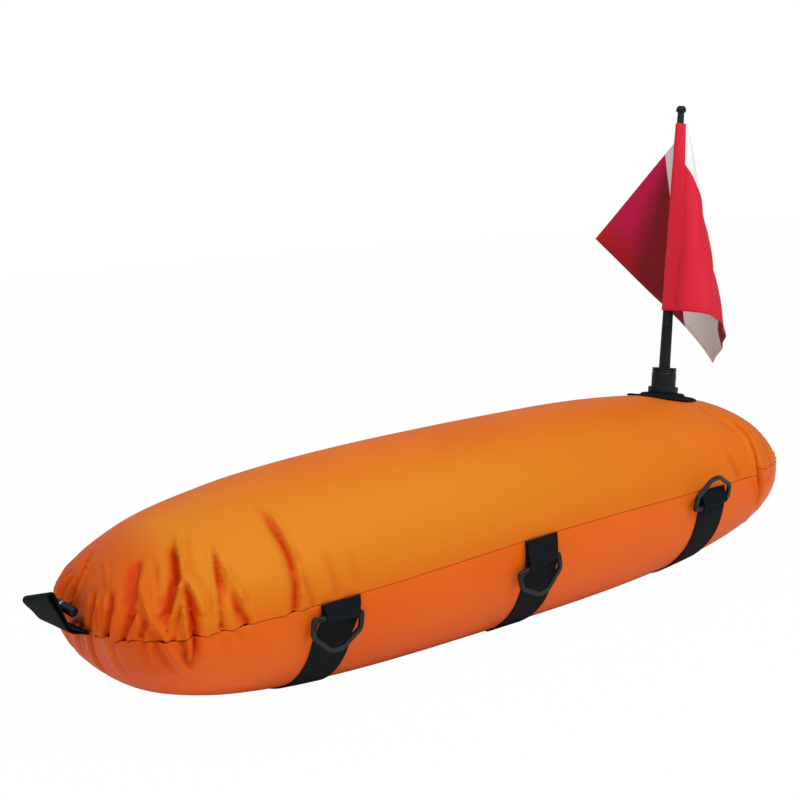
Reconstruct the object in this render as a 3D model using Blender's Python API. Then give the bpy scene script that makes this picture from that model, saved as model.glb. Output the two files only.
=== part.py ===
"""Inflatable torpedo dive float with a diver-down flag on a pole.

The float lies along X with its flag at the +X end and its towing loop at the -X end.
Z = 0 is the flat underside of the belly bands, and -Y is the near side.
"""
import math

import bmesh
import bpy
from mathutils import Matrix, Vector

# Body, in metres
BODY_LENGTH = 0.8126
BODY_WIDTH = 0.218
BODY_HEIGHT = 0.2092
SEAM_LIFT = 0.0012
SEAM_SWING = 0.0046
SEAM_SWING_PLACE = -0.080
SEAM_SWING_SPAN = 0.120
BELLY_FLAT_DROP = 0.0081
COVER_THICKNESS = 0.0009
BLADDER_THICKNESS = 0.0006
BLADDER_SLACK = 0.0006
BLADDER_END_SLACK = 0.012
FIT_GAP = 0.0003

# Powers of the rounded outline at each end, in plan and in side view
LOOP_END_PLAN_SHARES = (14.0, 3.12)
FLAG_END_PLAN_SHARES = (9.04, 2.72)
LOOP_END_SIDE_SHARES = (3.144, 2.605)
FLAG_END_SIDE_SHARES = (2.872, 2.77)

# Tucks where the cover is gathered along its end seams
TUCK_DEPTH = 0.0035
TUCK_REACH = 0.105
TUCK_COUNT = 12
LOWER_TUCK_SHARE = 0.5

# Webbing, belly bands and the tabs that hold the rings
WEBBING_WIDTH = 0.040
WEBBING_THICKNESS = 0.0013
NEAR_BAND_SHARE = -0.26827
MIDDLE_BAND_SHARE = 0.01108
FAR_BAND_SHARE = 0.30212
SEAM_SETBACK = 0.0010
TAB_WIDTH = 0.034
TAB_SHIFT = -0.0030
TAB_LEG_SHARES = (0.0, 0.3, 0.6)
NEAR_TAB_DROP = 0.0115
MIDDLE_TAB_DROP = 0.0215
FAR_TAB_DROP = 0.0135
NEAR_TAB_SLANT = math.radians(-4)
MIDDLE_TAB_SLANT = math.radians(12)
FAR_TAB_SLANT = math.radians(5.5)

# Moulded rings
RING_WIDTH = 0.053
RING_HEIGHT = 0.0365
RING_BAR = 0.0045
RING_STRAIGHT = 0.0160
RING_TIP_WIDTH = 0.0150
RING_CORNER = 0.0032
RING_HANGING_ANGLE = math.radians(-9)
RING_RAISED_ANGLE = math.radians(160)
RING_SLIDE = -0.0040

# Towing loop at the end seam
NEAR_EDGE_REACH = 0.0350
NEAR_EDGE_RISE = 0.0375
FAR_EDGE_REACH = 0.0370
FAR_EDGE_RISE = 0.0315
LOOP_HEAD_RADIUS = 0.0060
LOOP_DROP = 0.0020

# Inflation valve beside the towing loop
VALVE_SIDE = 0.014
VALVE_HEIGHT_SHARE = 0.10134
VALVE_TILT = math.radians(15)
VALVE_FLANGE_RADIUS = 0.009
VALVE_FLANGE_THICKNESS = 0.0014
VALVE_STEM_RADIUS = 0.0046
VALVE_STEM_LENGTH = 0.019
VALVE_TUBE_RADIUS = 0.0032
VALVE_BORE_RADIUS = 0.0018
VALVE_TUBE_RISE = 0.0145
VALVE_TUBE_LENGTH = 0.0305
VALVE_TUBE_BEND = 0.0055
VALVE_TURN = math.radians(78)
VALVE_DROP = math.radians(14)
VALVE_RING_WIDTH = 0.0022
VALVE_RING_RADIUS = 0.0040
VALVE_CAP_LENGTH = 0.0165
VALVE_CAP_RADIUS = 0.0044

# Flag socket, on top near the flag end
SOCKET_PLACE_SHARE = 0.35811
POLE_LEAN = math.radians(9.0)
PATCH_RADIUS = 0.039
PATCH_THICKNESS = 0.0010
PATCH_GAP = 0.0005
SOCKET_RADIUS = 0.0133
SOCKET_HEIGHT = 0.0290
SOCKET_FLOOR = 0.0022
SOCKET_SEAT = 0.0008
SOCKET_FLANGE_RADIUS = 0.021
SOCKET_FLANGE_THICKNESS = 0.0012
NUT_RADIUS = 0.0164
NUT_HEIGHT = 0.0066

# Flag pole
POLE_BASE_RADIUS = 0.0062
POLE_TIP_RADIUS = 0.0036
POLE_HEIGHT = 0.3020
COLLAR_RADIUS = 0.0134
COLLAR_THICKNESS = 0.0016
TIP_RADIUS = 0.0046
TIP_HEIGHT = 0.0072

# Flag cloth: its cut size, and how it hangs folded back past the pole
FLAG_HOIST = 0.199
FLAG_FLY = 0.1862
FLAG_FOOT = 0.0930
FLAG_THICKNESS = 0.0007
SLEEVE_THICKNESS = 0.0007
FLAG_HEADING = math.radians(-141.15)
FLAG_APEX = 0.0094
FLAG_FOLD_SHARES = ((0.0506, 1.9333), (0.2882, 9.2996), (0.5882, 2.5968), (1.2, -0.011))

# Fineness of the faceted surfaces
PANEL_COLUMNS = 22
BODY_ROWS = 24
ROUND_SIDES = 24
SMALL_SIDES = 12
RING_SIDES = 8
FLAG_ROWS = 6
FLAG_STEP = math.radians(10)

PANEL_GAP = FIT_GAP
BELLY_DEPTH = BODY_HEIGHT / 2 - BELLY_FLAT_DROP
SEAM_HEIGHT = BELLY_DEPTH + PANEL_GAP / 2 + FIT_GAP + WEBBING_THICKNESS
SOCKET_PLACE = BODY_LENGTH * SOCKET_PLACE_SHARE
VALVE_HEIGHT = BODY_HEIGHT * VALVE_HEIGHT_SHARE
UPPER = 1
LOWER = -1
NEAR_SIDE = -1
FAR_SIDE = 1
BANDS = {
    "near": (BODY_LENGTH * NEAR_BAND_SHARE, NEAR_TAB_DROP, NEAR_TAB_SLANT),
    "middle": (BODY_LENGTH * MIDDLE_BAND_SHARE, MIDDLE_TAB_DROP, MIDDLE_TAB_SLANT),
    "far": (BODY_LENGTH * FAR_BAND_SHARE, FAR_TAB_DROP, FAR_TAB_SLANT),
}

ORANGE = (0.80, 0.165, 0.022)
BLADDER_GREY = (0.30, 0.31, 0.33)
WEBBING_BLACK = (0.012, 0.014, 0.016)
PLASTIC_BLACK = (0.020, 0.022, 0.024)
VALVE_SILVER = (0.62, 0.63, 0.64)
FLAG_RED = (0.70, 0.020, 0.045)


def clear_scene():
    for thing in list(bpy.data.objects):
        bpy.data.objects.remove(thing, do_unlink=True)


def material(name, colour, roughness, metallic=0.0):
    made = bpy.data.materials.get(name) or bpy.data.materials.new(name)
    made.use_nodes = True
    shader = made.node_tree.nodes["Principled BSDF"]
    shader.inputs["Base Color"].default_value = (*colour, 1)
    shader.inputs["Roughness"].default_value = roughness
    shader.inputs["Metallic"].default_value = metallic
    return made


def cover_nylon():
    return material("cover_nylon", ORANGE, 0.45)


def webbing():
    return material("webbing", WEBBING_BLACK, 0.85)


def black_plastic():
    return material("black_plastic", PLASTIC_BLACK, 0.40)


def flag_nylon():
    return material("flag_nylon", FLAG_RED, 0.55)


def add_object(name, bm, finish, smooth_below=math.radians(40)):
    """Turns the bmesh into a named object with outward faces."""
    bmesh.ops.remove_doubles(bm, verts=bm.verts, dist=FIT_GAP / 100)
    bmesh.ops.recalc_face_normals(bm, faces=bm.faces)
    mesh = bpy.data.meshes.new(name)
    bm.to_mesh(mesh)
    bm.free()
    mesh.shade_smooth()
    mesh.set_sharp_from_angle(angle=smooth_below)
    mesh.materials.append(finish)
    thing = bpy.data.objects.new(name, mesh)
    bpy.context.scene.collection.objects.link(thing)
    return thing


def cut_with(thing, cutter):
    cutter.hide_render = True
    cutter.display_type = "WIRE"
    change = thing.modifiers.new("cut", "BOOLEAN")
    change.operation = "DIFFERENCE"
    change.solver = "EXACT"
    change.object = cutter


def join_rows(bm, rows, closed=False):
    """Makes a face between each neighbouring pair of points of neighbouring rows."""
    made = [[bm.verts.new(point) for point in row] for row in rows]
    steps = len(made[0]) if closed else len(made[0]) - 1
    for lower, upper in zip(made, made[1:]):
        for i in range(steps):
            j = (i + 1) % len(lower)
            bm.faces.new((lower[i], lower[j], upper[j], upper[i]))
    return made


# The inflated body's surface

def end_share(place, powers):
    return max(0.0, 1.0 - abs(place) ** powers[0]) ** (1.0 / powers[1])


def tuck(place, turn, side):
    """How far the gathered cover dips inwards, in metres: folds fan out from the end."""
    half_width = BODY_WIDTH / 2
    x = abs(place) * BODY_LENGTH / 2
    start = BODY_LENGTH / 2 - TUCK_REACH
    if x <= start:
        return 0.0
    reach = (x - start) / TUCK_REACH
    powers = LOOP_END_PLAN_SHARES if place < 0 else FLAG_END_PLAN_SHARES
    y = half_width * end_share(place, powers) * math.cos(turn)
    fan = math.atan2(y, x - BODY_LENGTH / 2 + half_width)
    fade = reach * reach * (3 - 2 * reach)
    depth = TUCK_DEPTH if side == UPPER else TUCK_DEPTH * LOWER_TUCK_SHARE
    return depth * fade * (1 - math.cos(TUCK_COUNT * fan)) / 2


def seam_angle(place):
    """Angle of the side seam above the widest line: it climbs towards the flag end."""
    x = place * BODY_LENGTH / 2
    lift = SEAM_LIFT + SEAM_SWING * math.tanh((x - SEAM_SWING_PLACE) / SEAM_SWING_SPAN)
    return lift / (BODY_HEIGHT / 2)


def skin_at(place, turn, side, out=0.0, tucked=True):
    """Point of the body's surface, moved out by out.

    place runs from -1 to 1 along the body, and turn from the near seam, 0, to the far
    seam, pi, over the top on the upper side or under the belly on the lower side.
    """
    start = seam_angle(place) * side
    turn = start + turn * (math.pi - 2 * start) / math.pi
    plan = LOOP_END_PLAN_SHARES if place < 0 else FLAG_END_PLAN_SHARES
    view = LOOP_END_SIDE_SHARES if place < 0 else FLAG_END_SIDE_SHARES
    if tucked:
        out -= tuck(place, turn, side)
    x = place * (BODY_LENGTH / 2 + out)
    y = -(BODY_WIDTH / 2 + out) * end_share(place, plan) * math.cos(turn)
    z = (BODY_HEIGHT / 2 + out) * end_share(place, view) * math.sin(turn)
    if side == LOWER:
        z = min(z, BELLY_DEPTH + out)
    return Vector((x, y, SEAM_HEIGHT + side * (PANEL_GAP / 2 + z)))


def skin(x, turn, side, out=0.0):
    return skin_at(x / (BODY_LENGTH / 2 + out), turn, side, out)


def body_places():
    """Stations along the body, with one at each edge and the middle of every band."""
    at_bands = []
    for middle, _, _ in BANDS.values():
        for step in (-1, 0, 1):
            at_bands.append((middle + step * WEBBING_WIDTH / 2) / (BODY_LENGTH / 2))
    places = list(at_bands)
    keep_off = WEBBING_WIDTH / 4 / (BODY_LENGTH / 2)
    for i in range(BODY_ROWS + 1):
        place = -math.cos(math.pi * i / BODY_ROWS)
        if all(abs(place - other) > keep_off for other in at_bands):
            places.append(place)
    return sorted(places)


def turns(count=PANEL_COLUMNS):
    return [math.pi * i / count for i in range(count + 1)]


def half_shell(side):
    """One panel of the cover: a bowl with a flat rim at the seam."""
    bm = bmesh.new()
    faces = []
    for out in (0.0, -COVER_THICKNESS):
        rows = [[skin_at(place, turn, side, out) for turn in turns()] for place in body_places()]
        faces.append(join_rows(bm, rows))
    outer, inner = faces
    for i in range(len(outer) - 1):
        for k in (0, -1):
            bm.faces.new((outer[i][k], outer[i + 1][k], inner[i + 1][k], inner[i][k]))
    bmesh.ops.remove_doubles(bm, verts=bm.verts, dist=FIT_GAP / 100)
    bmesh.ops.dissolve_degenerate(bm, edges=bm.edges, dist=FIT_GAP / 100)
    return bm


def valve_axis():
    return Vector((-math.cos(VALVE_TILT), 0.0, math.sin(VALVE_TILT)))


def valve_foot():
    """Centre of the valve flange's underside, just off the cover's end wall."""
    share = VALVE_HEIGHT / (BODY_HEIGHT / 2)
    q = LOOP_END_SIDE_SHARES[1]
    p = LOOP_END_SIDE_SHARES[0]
    place = (1 - share ** q) ** (1 / p)
    wall = -place * BODY_LENGTH / 2
    point = Vector((wall, VALVE_SIDE, SEAM_HEIGHT + VALVE_HEIGHT))
    return point + valve_axis() * (FIT_GAP + TUCK_DEPTH / 4)


def valve_cutter():
    bm = bmesh.new()
    length = VALVE_STEM_LENGTH * 2
    bmesh.ops.create_cone(
        bm, cap_ends=True, segments=SMALL_SIDES, depth=length,
        radius1=VALVE_STEM_RADIUS + FIT_GAP * 2, radius2=VALVE_STEM_RADIUS + FIT_GAP * 2)
    cutter = add_object("valve_cutter", bm, black_plastic())
    cutter.matrix_world = frame_along(valve_foot(), valve_axis())
    return cutter


def make_cover(cutter):
    upper = add_object("cover_upper_panel", half_shell(UPPER), cover_nylon())
    cut_with(upper, cutter)
    add_object("cover_lower_panel", half_shell(LOWER), cover_nylon())


def bladder_ring(place, out):
    shorten = (BODY_LENGTH / 2 - BLADDER_END_SLACK) / (BODY_LENGTH / 2)
    ring = []
    for side in (UPPER, LOWER):
        steps = turns(PANEL_COLUMNS // 2)
        for turn in steps[:-1] if side == UPPER else steps[:0:-1]:
            point = skin_at(place, turn, side, out, tucked=False)
            point.x *= shorten
            point.z -= side * PANEL_GAP / 2
            ring.append(point)
    return ring


def make_bladder(cutter):
    """The airtight bag inside the cover, open where the valve stem enters it."""
    bm = bmesh.new()
    inset = -(COVER_THICKNESS + BLADDER_SLACK)
    for out in (inset, inset - BLADDER_THICKNESS):
        rows = [bladder_ring(place, out) for place in body_places()]
        join_rows(bm, rows, closed=True)
    bmesh.ops.remove_doubles(bm, verts=bm.verts, dist=FIT_GAP / 100)
    bmesh.ops.dissolve_degenerate(bm, edges=bm.edges, dist=FIT_GAP / 100)
    bladder = add_object("inner_bladder", bm, material("bladder_film", BLADDER_GREY, 0.35))
    turn_inner_skin(bladder.data, inset)
    cut_with(bladder, cutter)


def turn_inner_skin(mesh, inset):
    """Points the bladder's inner skin towards its hollow."""
    bm = bmesh.new()
    bm.from_mesh(mesh)
    bmesh.ops.recalc_face_normals(bm, faces=bm.faces)
    top = max(vert.co.z for vert in bm.verts)
    start = next(vert for vert in bm.verts if vert.co.z == top)
    outer = set()
    waiting = [start]
    while waiting:
        vert = waiting.pop()
        if vert in outer:
            continue
        outer.add(vert)
        waiting.extend(edge.other_vert(vert) for edge in vert.link_edges)
    inner_faces = [face for face in bm.faces if face.verts[0] not in outer]
    centre = Vector((0.0, 0.0, SEAM_HEIGHT))
    sample = inner_faces[0]
    if sample.normal.dot(sample.calc_center_median() - centre) > 0:
        bmesh.ops.reverse_faces(bm, faces=inner_faces)
    bm.to_mesh(mesh)
    bm.free()


# Bands, tabs and rings

def make_band(name, middle):
    """A belly band from the near seam under the belly to the far seam."""
    bm = bmesh.new()
    edges = [middle + step * WEBBING_WIDTH / 2 for step in (-1, 0, 1)]
    start = SEAM_SETBACK / (BODY_HEIGHT / 2)
    angles = [start] + turns()[1:-1] + [math.pi - start]
    sheets = []
    for out in (FIT_GAP, FIT_GAP + WEBBING_THICKNESS):
        rows = [[skin(x, turn, LOWER, out) for turn in angles] for x in edges]
        sheets.append(join_rows(bm, rows))
    inner, outer = sheets
    for k in (0, -1):
        for i in range(len(angles) - 1):
            bm.faces.new((inner[k][i], inner[k][i + 1], outer[k][i + 1], outer[k][i]))
        for i in range(len(edges) - 1):
            bm.faces.new((inner[i][k], inner[i + 1][k], outer[i + 1][k], outer[i][k]))
    add_object(name, bm, webbing())


def steady_edge(middle):
    """The edge of a band that is nearer the body's middle, where the body is widest."""
    return middle - math.copysign(WEBBING_WIDTH / 2, middle)


def lower_turn(x, drop):
    """Turn at which the lower side of the body lies drop below the seam."""
    place = x / (BODY_LENGTH / 2)
    powers = LOOP_END_SIDE_SHARES if x < 0 else FLAG_END_SIDE_SHARES
    height = BODY_HEIGHT / 2 * end_share(place, powers)
    start = -seam_angle(place)
    angle = math.asin(drop / height + math.sin(start))
    return (angle - start) * math.pi / (math.pi - 2 * start)


def layer(x, drop, out, towards):
    """Point drop below the seam in the section at x, out from the cover, on one side."""
    point = skin(x, lower_turn(x, drop), LOWER, out)
    return Vector((0.0, abs(point.y) * towards, point.z))


def bar_out():
    return 3 * FIT_GAP + 2 * WEBBING_THICKNESS + RING_BAR / 2


def bar_point(band, towards, aside):
    """A point on the hinge line of a ring, aside from the tab's middle."""
    middle, drop, slant = BANDS[band]
    point = layer(steady_edge(middle), drop - aside * math.tan(slant), bar_out(), towards)
    return Vector((middle + TAB_SHIFT + aside, point.y, point.z))


def bar_ends(band, towards):
    half = TAB_WIDTH / 2
    return bar_point(band, towards, -half), bar_point(band, towards, half)


def ribbon_outline(points, thickness):
    """Both sides of a band of webbing whose middle line follows the points."""
    left, right = [], []
    for i, point in enumerate(points):
        before = (point - points[i - 1]).normalized() if i else None
        after = (points[i + 1] - point).normalized() if i + 1 < len(points) else None
        ways = [way for way in (before, after) if way]
        way = sum(ways, Vector((0.0, 0.0, 0.0))).normalized()
        normal = Vector((0.0, -way.z, way.y)) if abs(way.x) < 1e-9 else Vector((-way.z, 0.0, way.x))
        stretch = 1.0 / max(0.5, way.dot(ways[0]))
        left.append(point + normal * (thickness / 2 * stretch))
        right.append(point - normal * (thickness / 2 * stretch))
    return left + right[::-1]


def tab_outline(band, towards, aside):
    """Section of a tab: down from the seam, round the ring's bar and back up."""
    middle, drop, slant = BANDS[band]
    x = steady_edge(middle)
    drop -= aside * math.tan(slant)
    inner_out = 2 * FIT_GAP + 1.5 * WEBBING_THICKNESS
    outer_out = 3 * FIT_GAP + 2.5 * WEBBING_THICKNESS
    leg = drop - SEAM_SETBACK
    path = [layer(x, SEAM_SETBACK + leg * share, inner_out, towards) for share in TAB_LEG_SHARES]
    bar = bar_point(band, towards, aside)
    bar.x = 0.0
    outward = (bar - layer(x, drop, 0.0, towards)).normalized()
    downward = Vector((0.0, -outward.z, outward.y))
    if downward.z > 0:
        downward.negate()
    bend = RING_BAR / 2 + FIT_GAP + WEBBING_THICKNESS / 2
    end = layer(x, SEAM_SETBACK, outer_out, towards)
    back = end - bar
    full_turn = 2 * math.pi
    wrap = math.atan2(back.dot(downward), -back.dot(outward)) % full_turn
    wrap -= math.acos(bend / back.length)
    steps = 9
    for i in range(steps + 1):
        angle = wrap * i / steps
        path.append(bar + outward * (-bend * math.cos(angle)) + downward * (bend * math.sin(angle)))
    path.append(end)
    along = Vector((middle + TAB_SHIFT + aside, 0.0, 0.0))
    return [point + along for point in ribbon_outline(path, WEBBING_THICKNESS)]


def solid_between(outlines):
    """A solid between two outlines with the same number of points."""
    bm = bmesh.new()
    ends = join_rows(bm, outlines, closed=True)
    for row in ends:
        bm.faces.new(row)
    return bm


def make_tab(name, band, towards):
    """Webbing folded round the ring's bar, with both ends sewn in at the seam."""
    half = TAB_WIDTH / 2
    bm = solid_between([tab_outline(band, towards, aside) for aside in (-half, half)])
    add_object(name, bm, webbing())


def ring_path():
    """Middle line of a ring, in its own plane: its bar lies on z = 0 and the rest hangs below."""
    half = (RING_WIDTH - RING_BAR) / 2
    depth = RING_HEIGHT - RING_BAR
    tip = (RING_TIP_WIDTH - RING_BAR) / 2
    corners = [
        Vector((-half, 0, 0)), Vector((half, 0, 0)), Vector((half, 0, -RING_STRAIGHT)),
        Vector((tip, 0, -depth)), Vector((-tip, 0, -depth)), Vector((-half, 0, -RING_STRAIGHT)),
    ]
    path = []
    for i, corner in enumerate(corners):
        before = (corners[i - 1] - corner).normalized()
        after = (corners[(i + 1) % len(corners)] - corner).normalized()
        start = corner + before * RING_CORNER
        end = corner + after * RING_CORNER
        for share in (0.0, 0.5, 1.0):
            first = start.lerp(corner, share)
            second = corner.lerp(end, share)
            path.append(first.lerp(second, share))
    return path


def ring_mesh():
    bm = bmesh.new()
    path = ring_path()
    rows = []
    for i, point in enumerate(path):
        before = (point - path[i - 1]).normalized()
        after = (path[(i + 1) % len(path)] - point).normalized()
        way = (before + after).normalized()
        across = Vector((-way.z, 0, way.x))
        stretch = 1.0 / way.dot(before)
        row = []
        for k in range(RING_SIDES):
            angle = 2 * math.pi * (k + 0.5) / RING_SIDES
            sideways = across * (math.cos(angle) * stretch)
            row.append(point + (sideways + Vector((0, math.sin(angle), 0))) * (RING_BAR / 2))
        rows.append(row)
    made = join_rows(bm, rows, closed=True)
    for k in range(RING_SIDES):
        j = (k + 1) % RING_SIDES
        bm.faces.new((made[-1][k], made[-1][j], made[0][j], made[0][k]))
    return bm


def make_ring(name, band, towards, angle):
    """A D-ring that hangs from its tab, turned outwards by angle from straight down."""
    ring = add_object(name, ring_mesh(), black_plastic())
    start, end = bar_ends(band, towards)
    way = (end - start).normalized()
    up = (Vector((0, 0, 1)) - way * way.z).normalized()
    basis = Matrix((way, up.cross(way), up)).transposed().to_4x4()
    ring.matrix_world = (Matrix.Translation((start + end) / 2 + way * RING_SLIDE) @ basis
                         @ Matrix.Rotation(towards * angle, 4, "X"))


def make_bands_and_rings():
    for band, (middle, _, _) in BANDS.items():
        make_band(f"belly_band_{band}", middle)
        for side, towards in (("front", NEAR_SIDE), ("back", FAR_SIDE)):
            raised = band == "far" and towards == NEAR_SIDE
            make_tab(f"ring_tab_{band}_{side}", band, towards)
            make_ring(f"d_ring_{band}_{side}", band, towards,
                      RING_RAISED_ANGLE if raised else RING_HANGING_ANGLE)


# Towing loop and inflation valve at the -X end

def loop_outline(reach, rise, aside):
    """Section of the towing loop: out from the seam, round its head and back."""
    radius = LOOP_HEAD_RADIUS
    leg = Vector((-reach, 0.0, rise))
    leg -= leg.normalized() * radius
    along = leg.normalized()
    across = Vector((-along.z, 0.0, along.x))
    half_open = math.asin(radius / leg.length)
    spread = WEBBING_THICKNESS / 2 + FIT_GAP / 2
    clear = FIT_GAP + abs(across.x) * (spread + WEBBING_THICKNESS / 2)
    foot = Vector((-BODY_LENGTH / 2 - clear, 0.0, SEAM_HEIGHT - LOOP_DROP))
    head = foot + leg
    path = [foot - across * spread]
    steps = 10
    for i in range(steps + 1):
        angle = -math.pi / 2 - half_open + (math.pi + 2 * half_open) * i / steps
        path.append(head + along * (radius * math.cos(angle)) + across * (radius * math.sin(angle)))
    path.append(foot + across * spread)
    shift = Vector((0.0, aside, 0.0))
    return [point + shift for point in ribbon_outline(path, WEBBING_THICKNESS)]


def make_towing_loop():
    """Webbing doubled back on itself; its far edge droops below its near edge."""
    half = WEBBING_WIDTH / 2
    near = loop_outline(NEAR_EDGE_REACH, NEAR_EDGE_RISE, -half)
    far = loop_outline(FAR_EDGE_REACH, FAR_EDGE_RISE, half)
    add_object("towing_loop", solid_between([near, far]), webbing())


def frame_along(origin, way):
    """Matrix that puts a turned piece's +Z along way at origin."""
    return Matrix.Translation(origin) @ way.to_track_quat("Z", "Y").to_matrix().to_4x4()


def turned(name, profile, sides, finish, origin, way):
    """A solid of revolution: profile lists (radius, height) round its section, bore included."""
    bm = bmesh.new()
    rows = []
    for i in range(sides):
        angle = 2 * math.pi * i / sides
        rows.append([Vector((r * math.cos(angle), r * math.sin(angle), h)) for r, h in profile])
    join_rows(bm, rows + rows[:1])
    bmesh.ops.remove_doubles(bm, verts=bm.verts, dist=FIT_GAP / 100)
    bmesh.ops.dissolve_degenerate(bm, edges=bm.edges, dist=FIT_GAP / 100)
    thing = add_object(name, bm, finish)
    thing.matrix_world = frame_along(origin, way)
    return thing


def valve_heading():
    """Direction of the valve tube after its bend, along the end wall towards the near side."""
    level = math.cos(VALVE_DROP)
    return Vector((math.cos(VALVE_TURN) * level, -math.sin(VALVE_TURN) * level, -math.sin(VALVE_DROP)))


def valve_corner():
    return valve_foot() + valve_axis() * (VALVE_FLANGE_THICKNESS + FIT_GAP + VALVE_TUBE_RISE)


def valve_tube_path():
    start = valve_foot() + valve_axis() * (VALVE_FLANGE_THICKNESS + FIT_GAP)
    corner = valve_corner()
    bend_start = corner - valve_axis() * VALVE_TUBE_BEND
    bend_end = corner + valve_heading() * VALVE_TUBE_BEND
    path = [start]
    steps = 6
    for i in range(steps + 1):
        share = i / steps
        path.append(bend_start.lerp(corner, share).lerp(corner.lerp(bend_end, share), share))
    path.append(corner + valve_heading() * VALVE_TUBE_LENGTH)
    return path


def make_valve_tube():
    """A short bent hose with its bore, pushed on the valve's base."""
    bm = bmesh.new()
    path = valve_tube_path()
    across = Vector((0, 0, 1))
    skins = {VALVE_TUBE_RADIUS: [], VALVE_BORE_RADIUS: []}
    for i, point in enumerate(path):
        ways = [path[j + 1] - path[j] for j in (i - 1, i) if 0 <= j < len(path) - 1]
        way = sum((way.normalized() for way in ways), Vector((0, 0, 0))).normalized()
        across = (across - way * across.dot(way)).normalized()
        other = way.cross(across)
        for radius, rows in skins.items():
            angles = [2 * math.pi * k / SMALL_SIDES for k in range(SMALL_SIDES)]
            rows.append([point + (across * math.cos(a) + other * math.sin(a)) * radius for a in angles])
    outer, inner = (join_rows(bm, rows, closed=True) for rows in skins.values())
    for end in (0, -1):
        for k in range(SMALL_SIDES):
            j = (k + 1) % SMALL_SIDES
            bm.faces.new((outer[end][k], outer[end][j], inner[end][j], inner[end][k]))
    add_object("valve_tube", bm, black_plastic())


def make_valve():
    foot = valve_foot()
    bore = VALVE_BORE_RADIUS
    stem = [
        (bore, -VALVE_STEM_LENGTH), (VALVE_STEM_RADIUS, -VALVE_STEM_LENGTH), (VALVE_STEM_RADIUS, 0),
        (VALVE_FLANGE_RADIUS, 0), (VALVE_FLANGE_RADIUS, VALVE_FLANGE_THICKNESS),
        (bore, VALVE_FLANGE_THICKNESS), (bore, -VALVE_STEM_LENGTH),
    ]
    turned("valve_base", stem, SMALL_SIDES * 2, black_plastic(), foot, valve_axis())
    make_valve_tube()
    mouth = valve_corner() + valve_heading() * VALVE_TUBE_LENGTH
    wall = FIT_GAP * 2
    inner = VALVE_TUBE_RADIUS + FIT_GAP
    cap_back = -(VALVE_CAP_LENGTH - FIT_GAP - wall)
    cap = [
        (0, FIT_GAP), (inner, FIT_GAP), (inner, cap_back), (VALVE_CAP_RADIUS, cap_back),
        (VALVE_CAP_RADIUS, 0), (VALVE_CAP_RADIUS - wall * 2, FIT_GAP + wall * 2), (0, FIT_GAP + wall * 2),
    ]
    turned("valve_cap", cap, SMALL_SIDES * 2, black_plastic(), mouth, valve_heading())
    ring_front = cap_back - FIT_GAP
    ring_back = ring_front - VALVE_RING_WIDTH
    ring = [
        (inner, ring_back), (VALVE_RING_RADIUS, ring_back), (VALVE_RING_RADIUS, ring_front),
        (inner, ring_front), (inner, ring_back),
    ]
    silver = material("valve_silver", VALVE_SILVER, 0.30, 1.0)
    turned("valve_ring", ring, SMALL_SIDES * 2, silver, mouth, valve_heading())


# Socket, pole and flag, built round the pole's axis

def socket_origin():
    return skin(SOCKET_PLACE, math.pi / 2, UPPER)


def pole_way():
    return Vector((math.sin(POLE_LEAN), 0, math.cos(POLE_LEAN)))


def pole_frame():
    return Matrix.Translation(socket_origin()) @ Matrix.Rotation(POLE_LEAN, 4, "Y")


def top_surface(x, y, out):
    """Height of the upper cover, moved out by out, over a point in plan."""
    place = x / (BODY_LENGTH / 2 + out)
    plan = LOOP_END_PLAN_SHARES if x < 0 else FLAG_END_PLAN_SHARES
    start = seam_angle(place)
    angle = math.acos(-y / ((BODY_WIDTH / 2 + out) * end_share(place, plan)))
    return skin_at(place, (angle - start) * math.pi / (math.pi - 2 * start), UPPER, out)


def flange_top():
    return SOCKET_SEAT + SOCKET_FLANGE_THICKNESS


def make_patch():
    """Round patch that holds the socket's flange down on the cover, draped over it."""
    bm = bmesh.new()
    frame = pole_frame()
    back = frame.inverted()
    hole = SOCKET_RADIUS + FIT_GAP
    step = SOCKET_FLANGE_RADIUS + PATCH_THICKNESS
    rings = [hole, step, (step + PATCH_RADIUS) / 2, PATCH_RADIUS]
    skins = []
    for thickness in (0.0, PATCH_THICKNESS):
        rows = []
        for radius in rings:
            row = []
            for k in range(ROUND_SIDES):
                angle = 2 * math.pi * k / ROUND_SIDES
                local = Vector((radius * math.cos(angle), radius * math.sin(angle), 0))
                flat = frame @ local
                local.z = (back @ top_surface(flat.x, flat.y, PATCH_GAP)).z
                if radius <= step:
                    local.z = max(local.z, flange_top() + FIT_GAP)
                local.z += thickness
                row.append(frame @ local)
            rows.append(row)
        skins.append(join_rows(bm, rows, closed=True))
    under, over = skins
    for k in range(ROUND_SIDES):
        j = (k + 1) % ROUND_SIDES
        for end in (0, -1):
            bm.faces.new((under[end][k], under[end][j], over[end][j], over[end][k]))
    add_object("socket_patch", bm, webbing())


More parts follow.
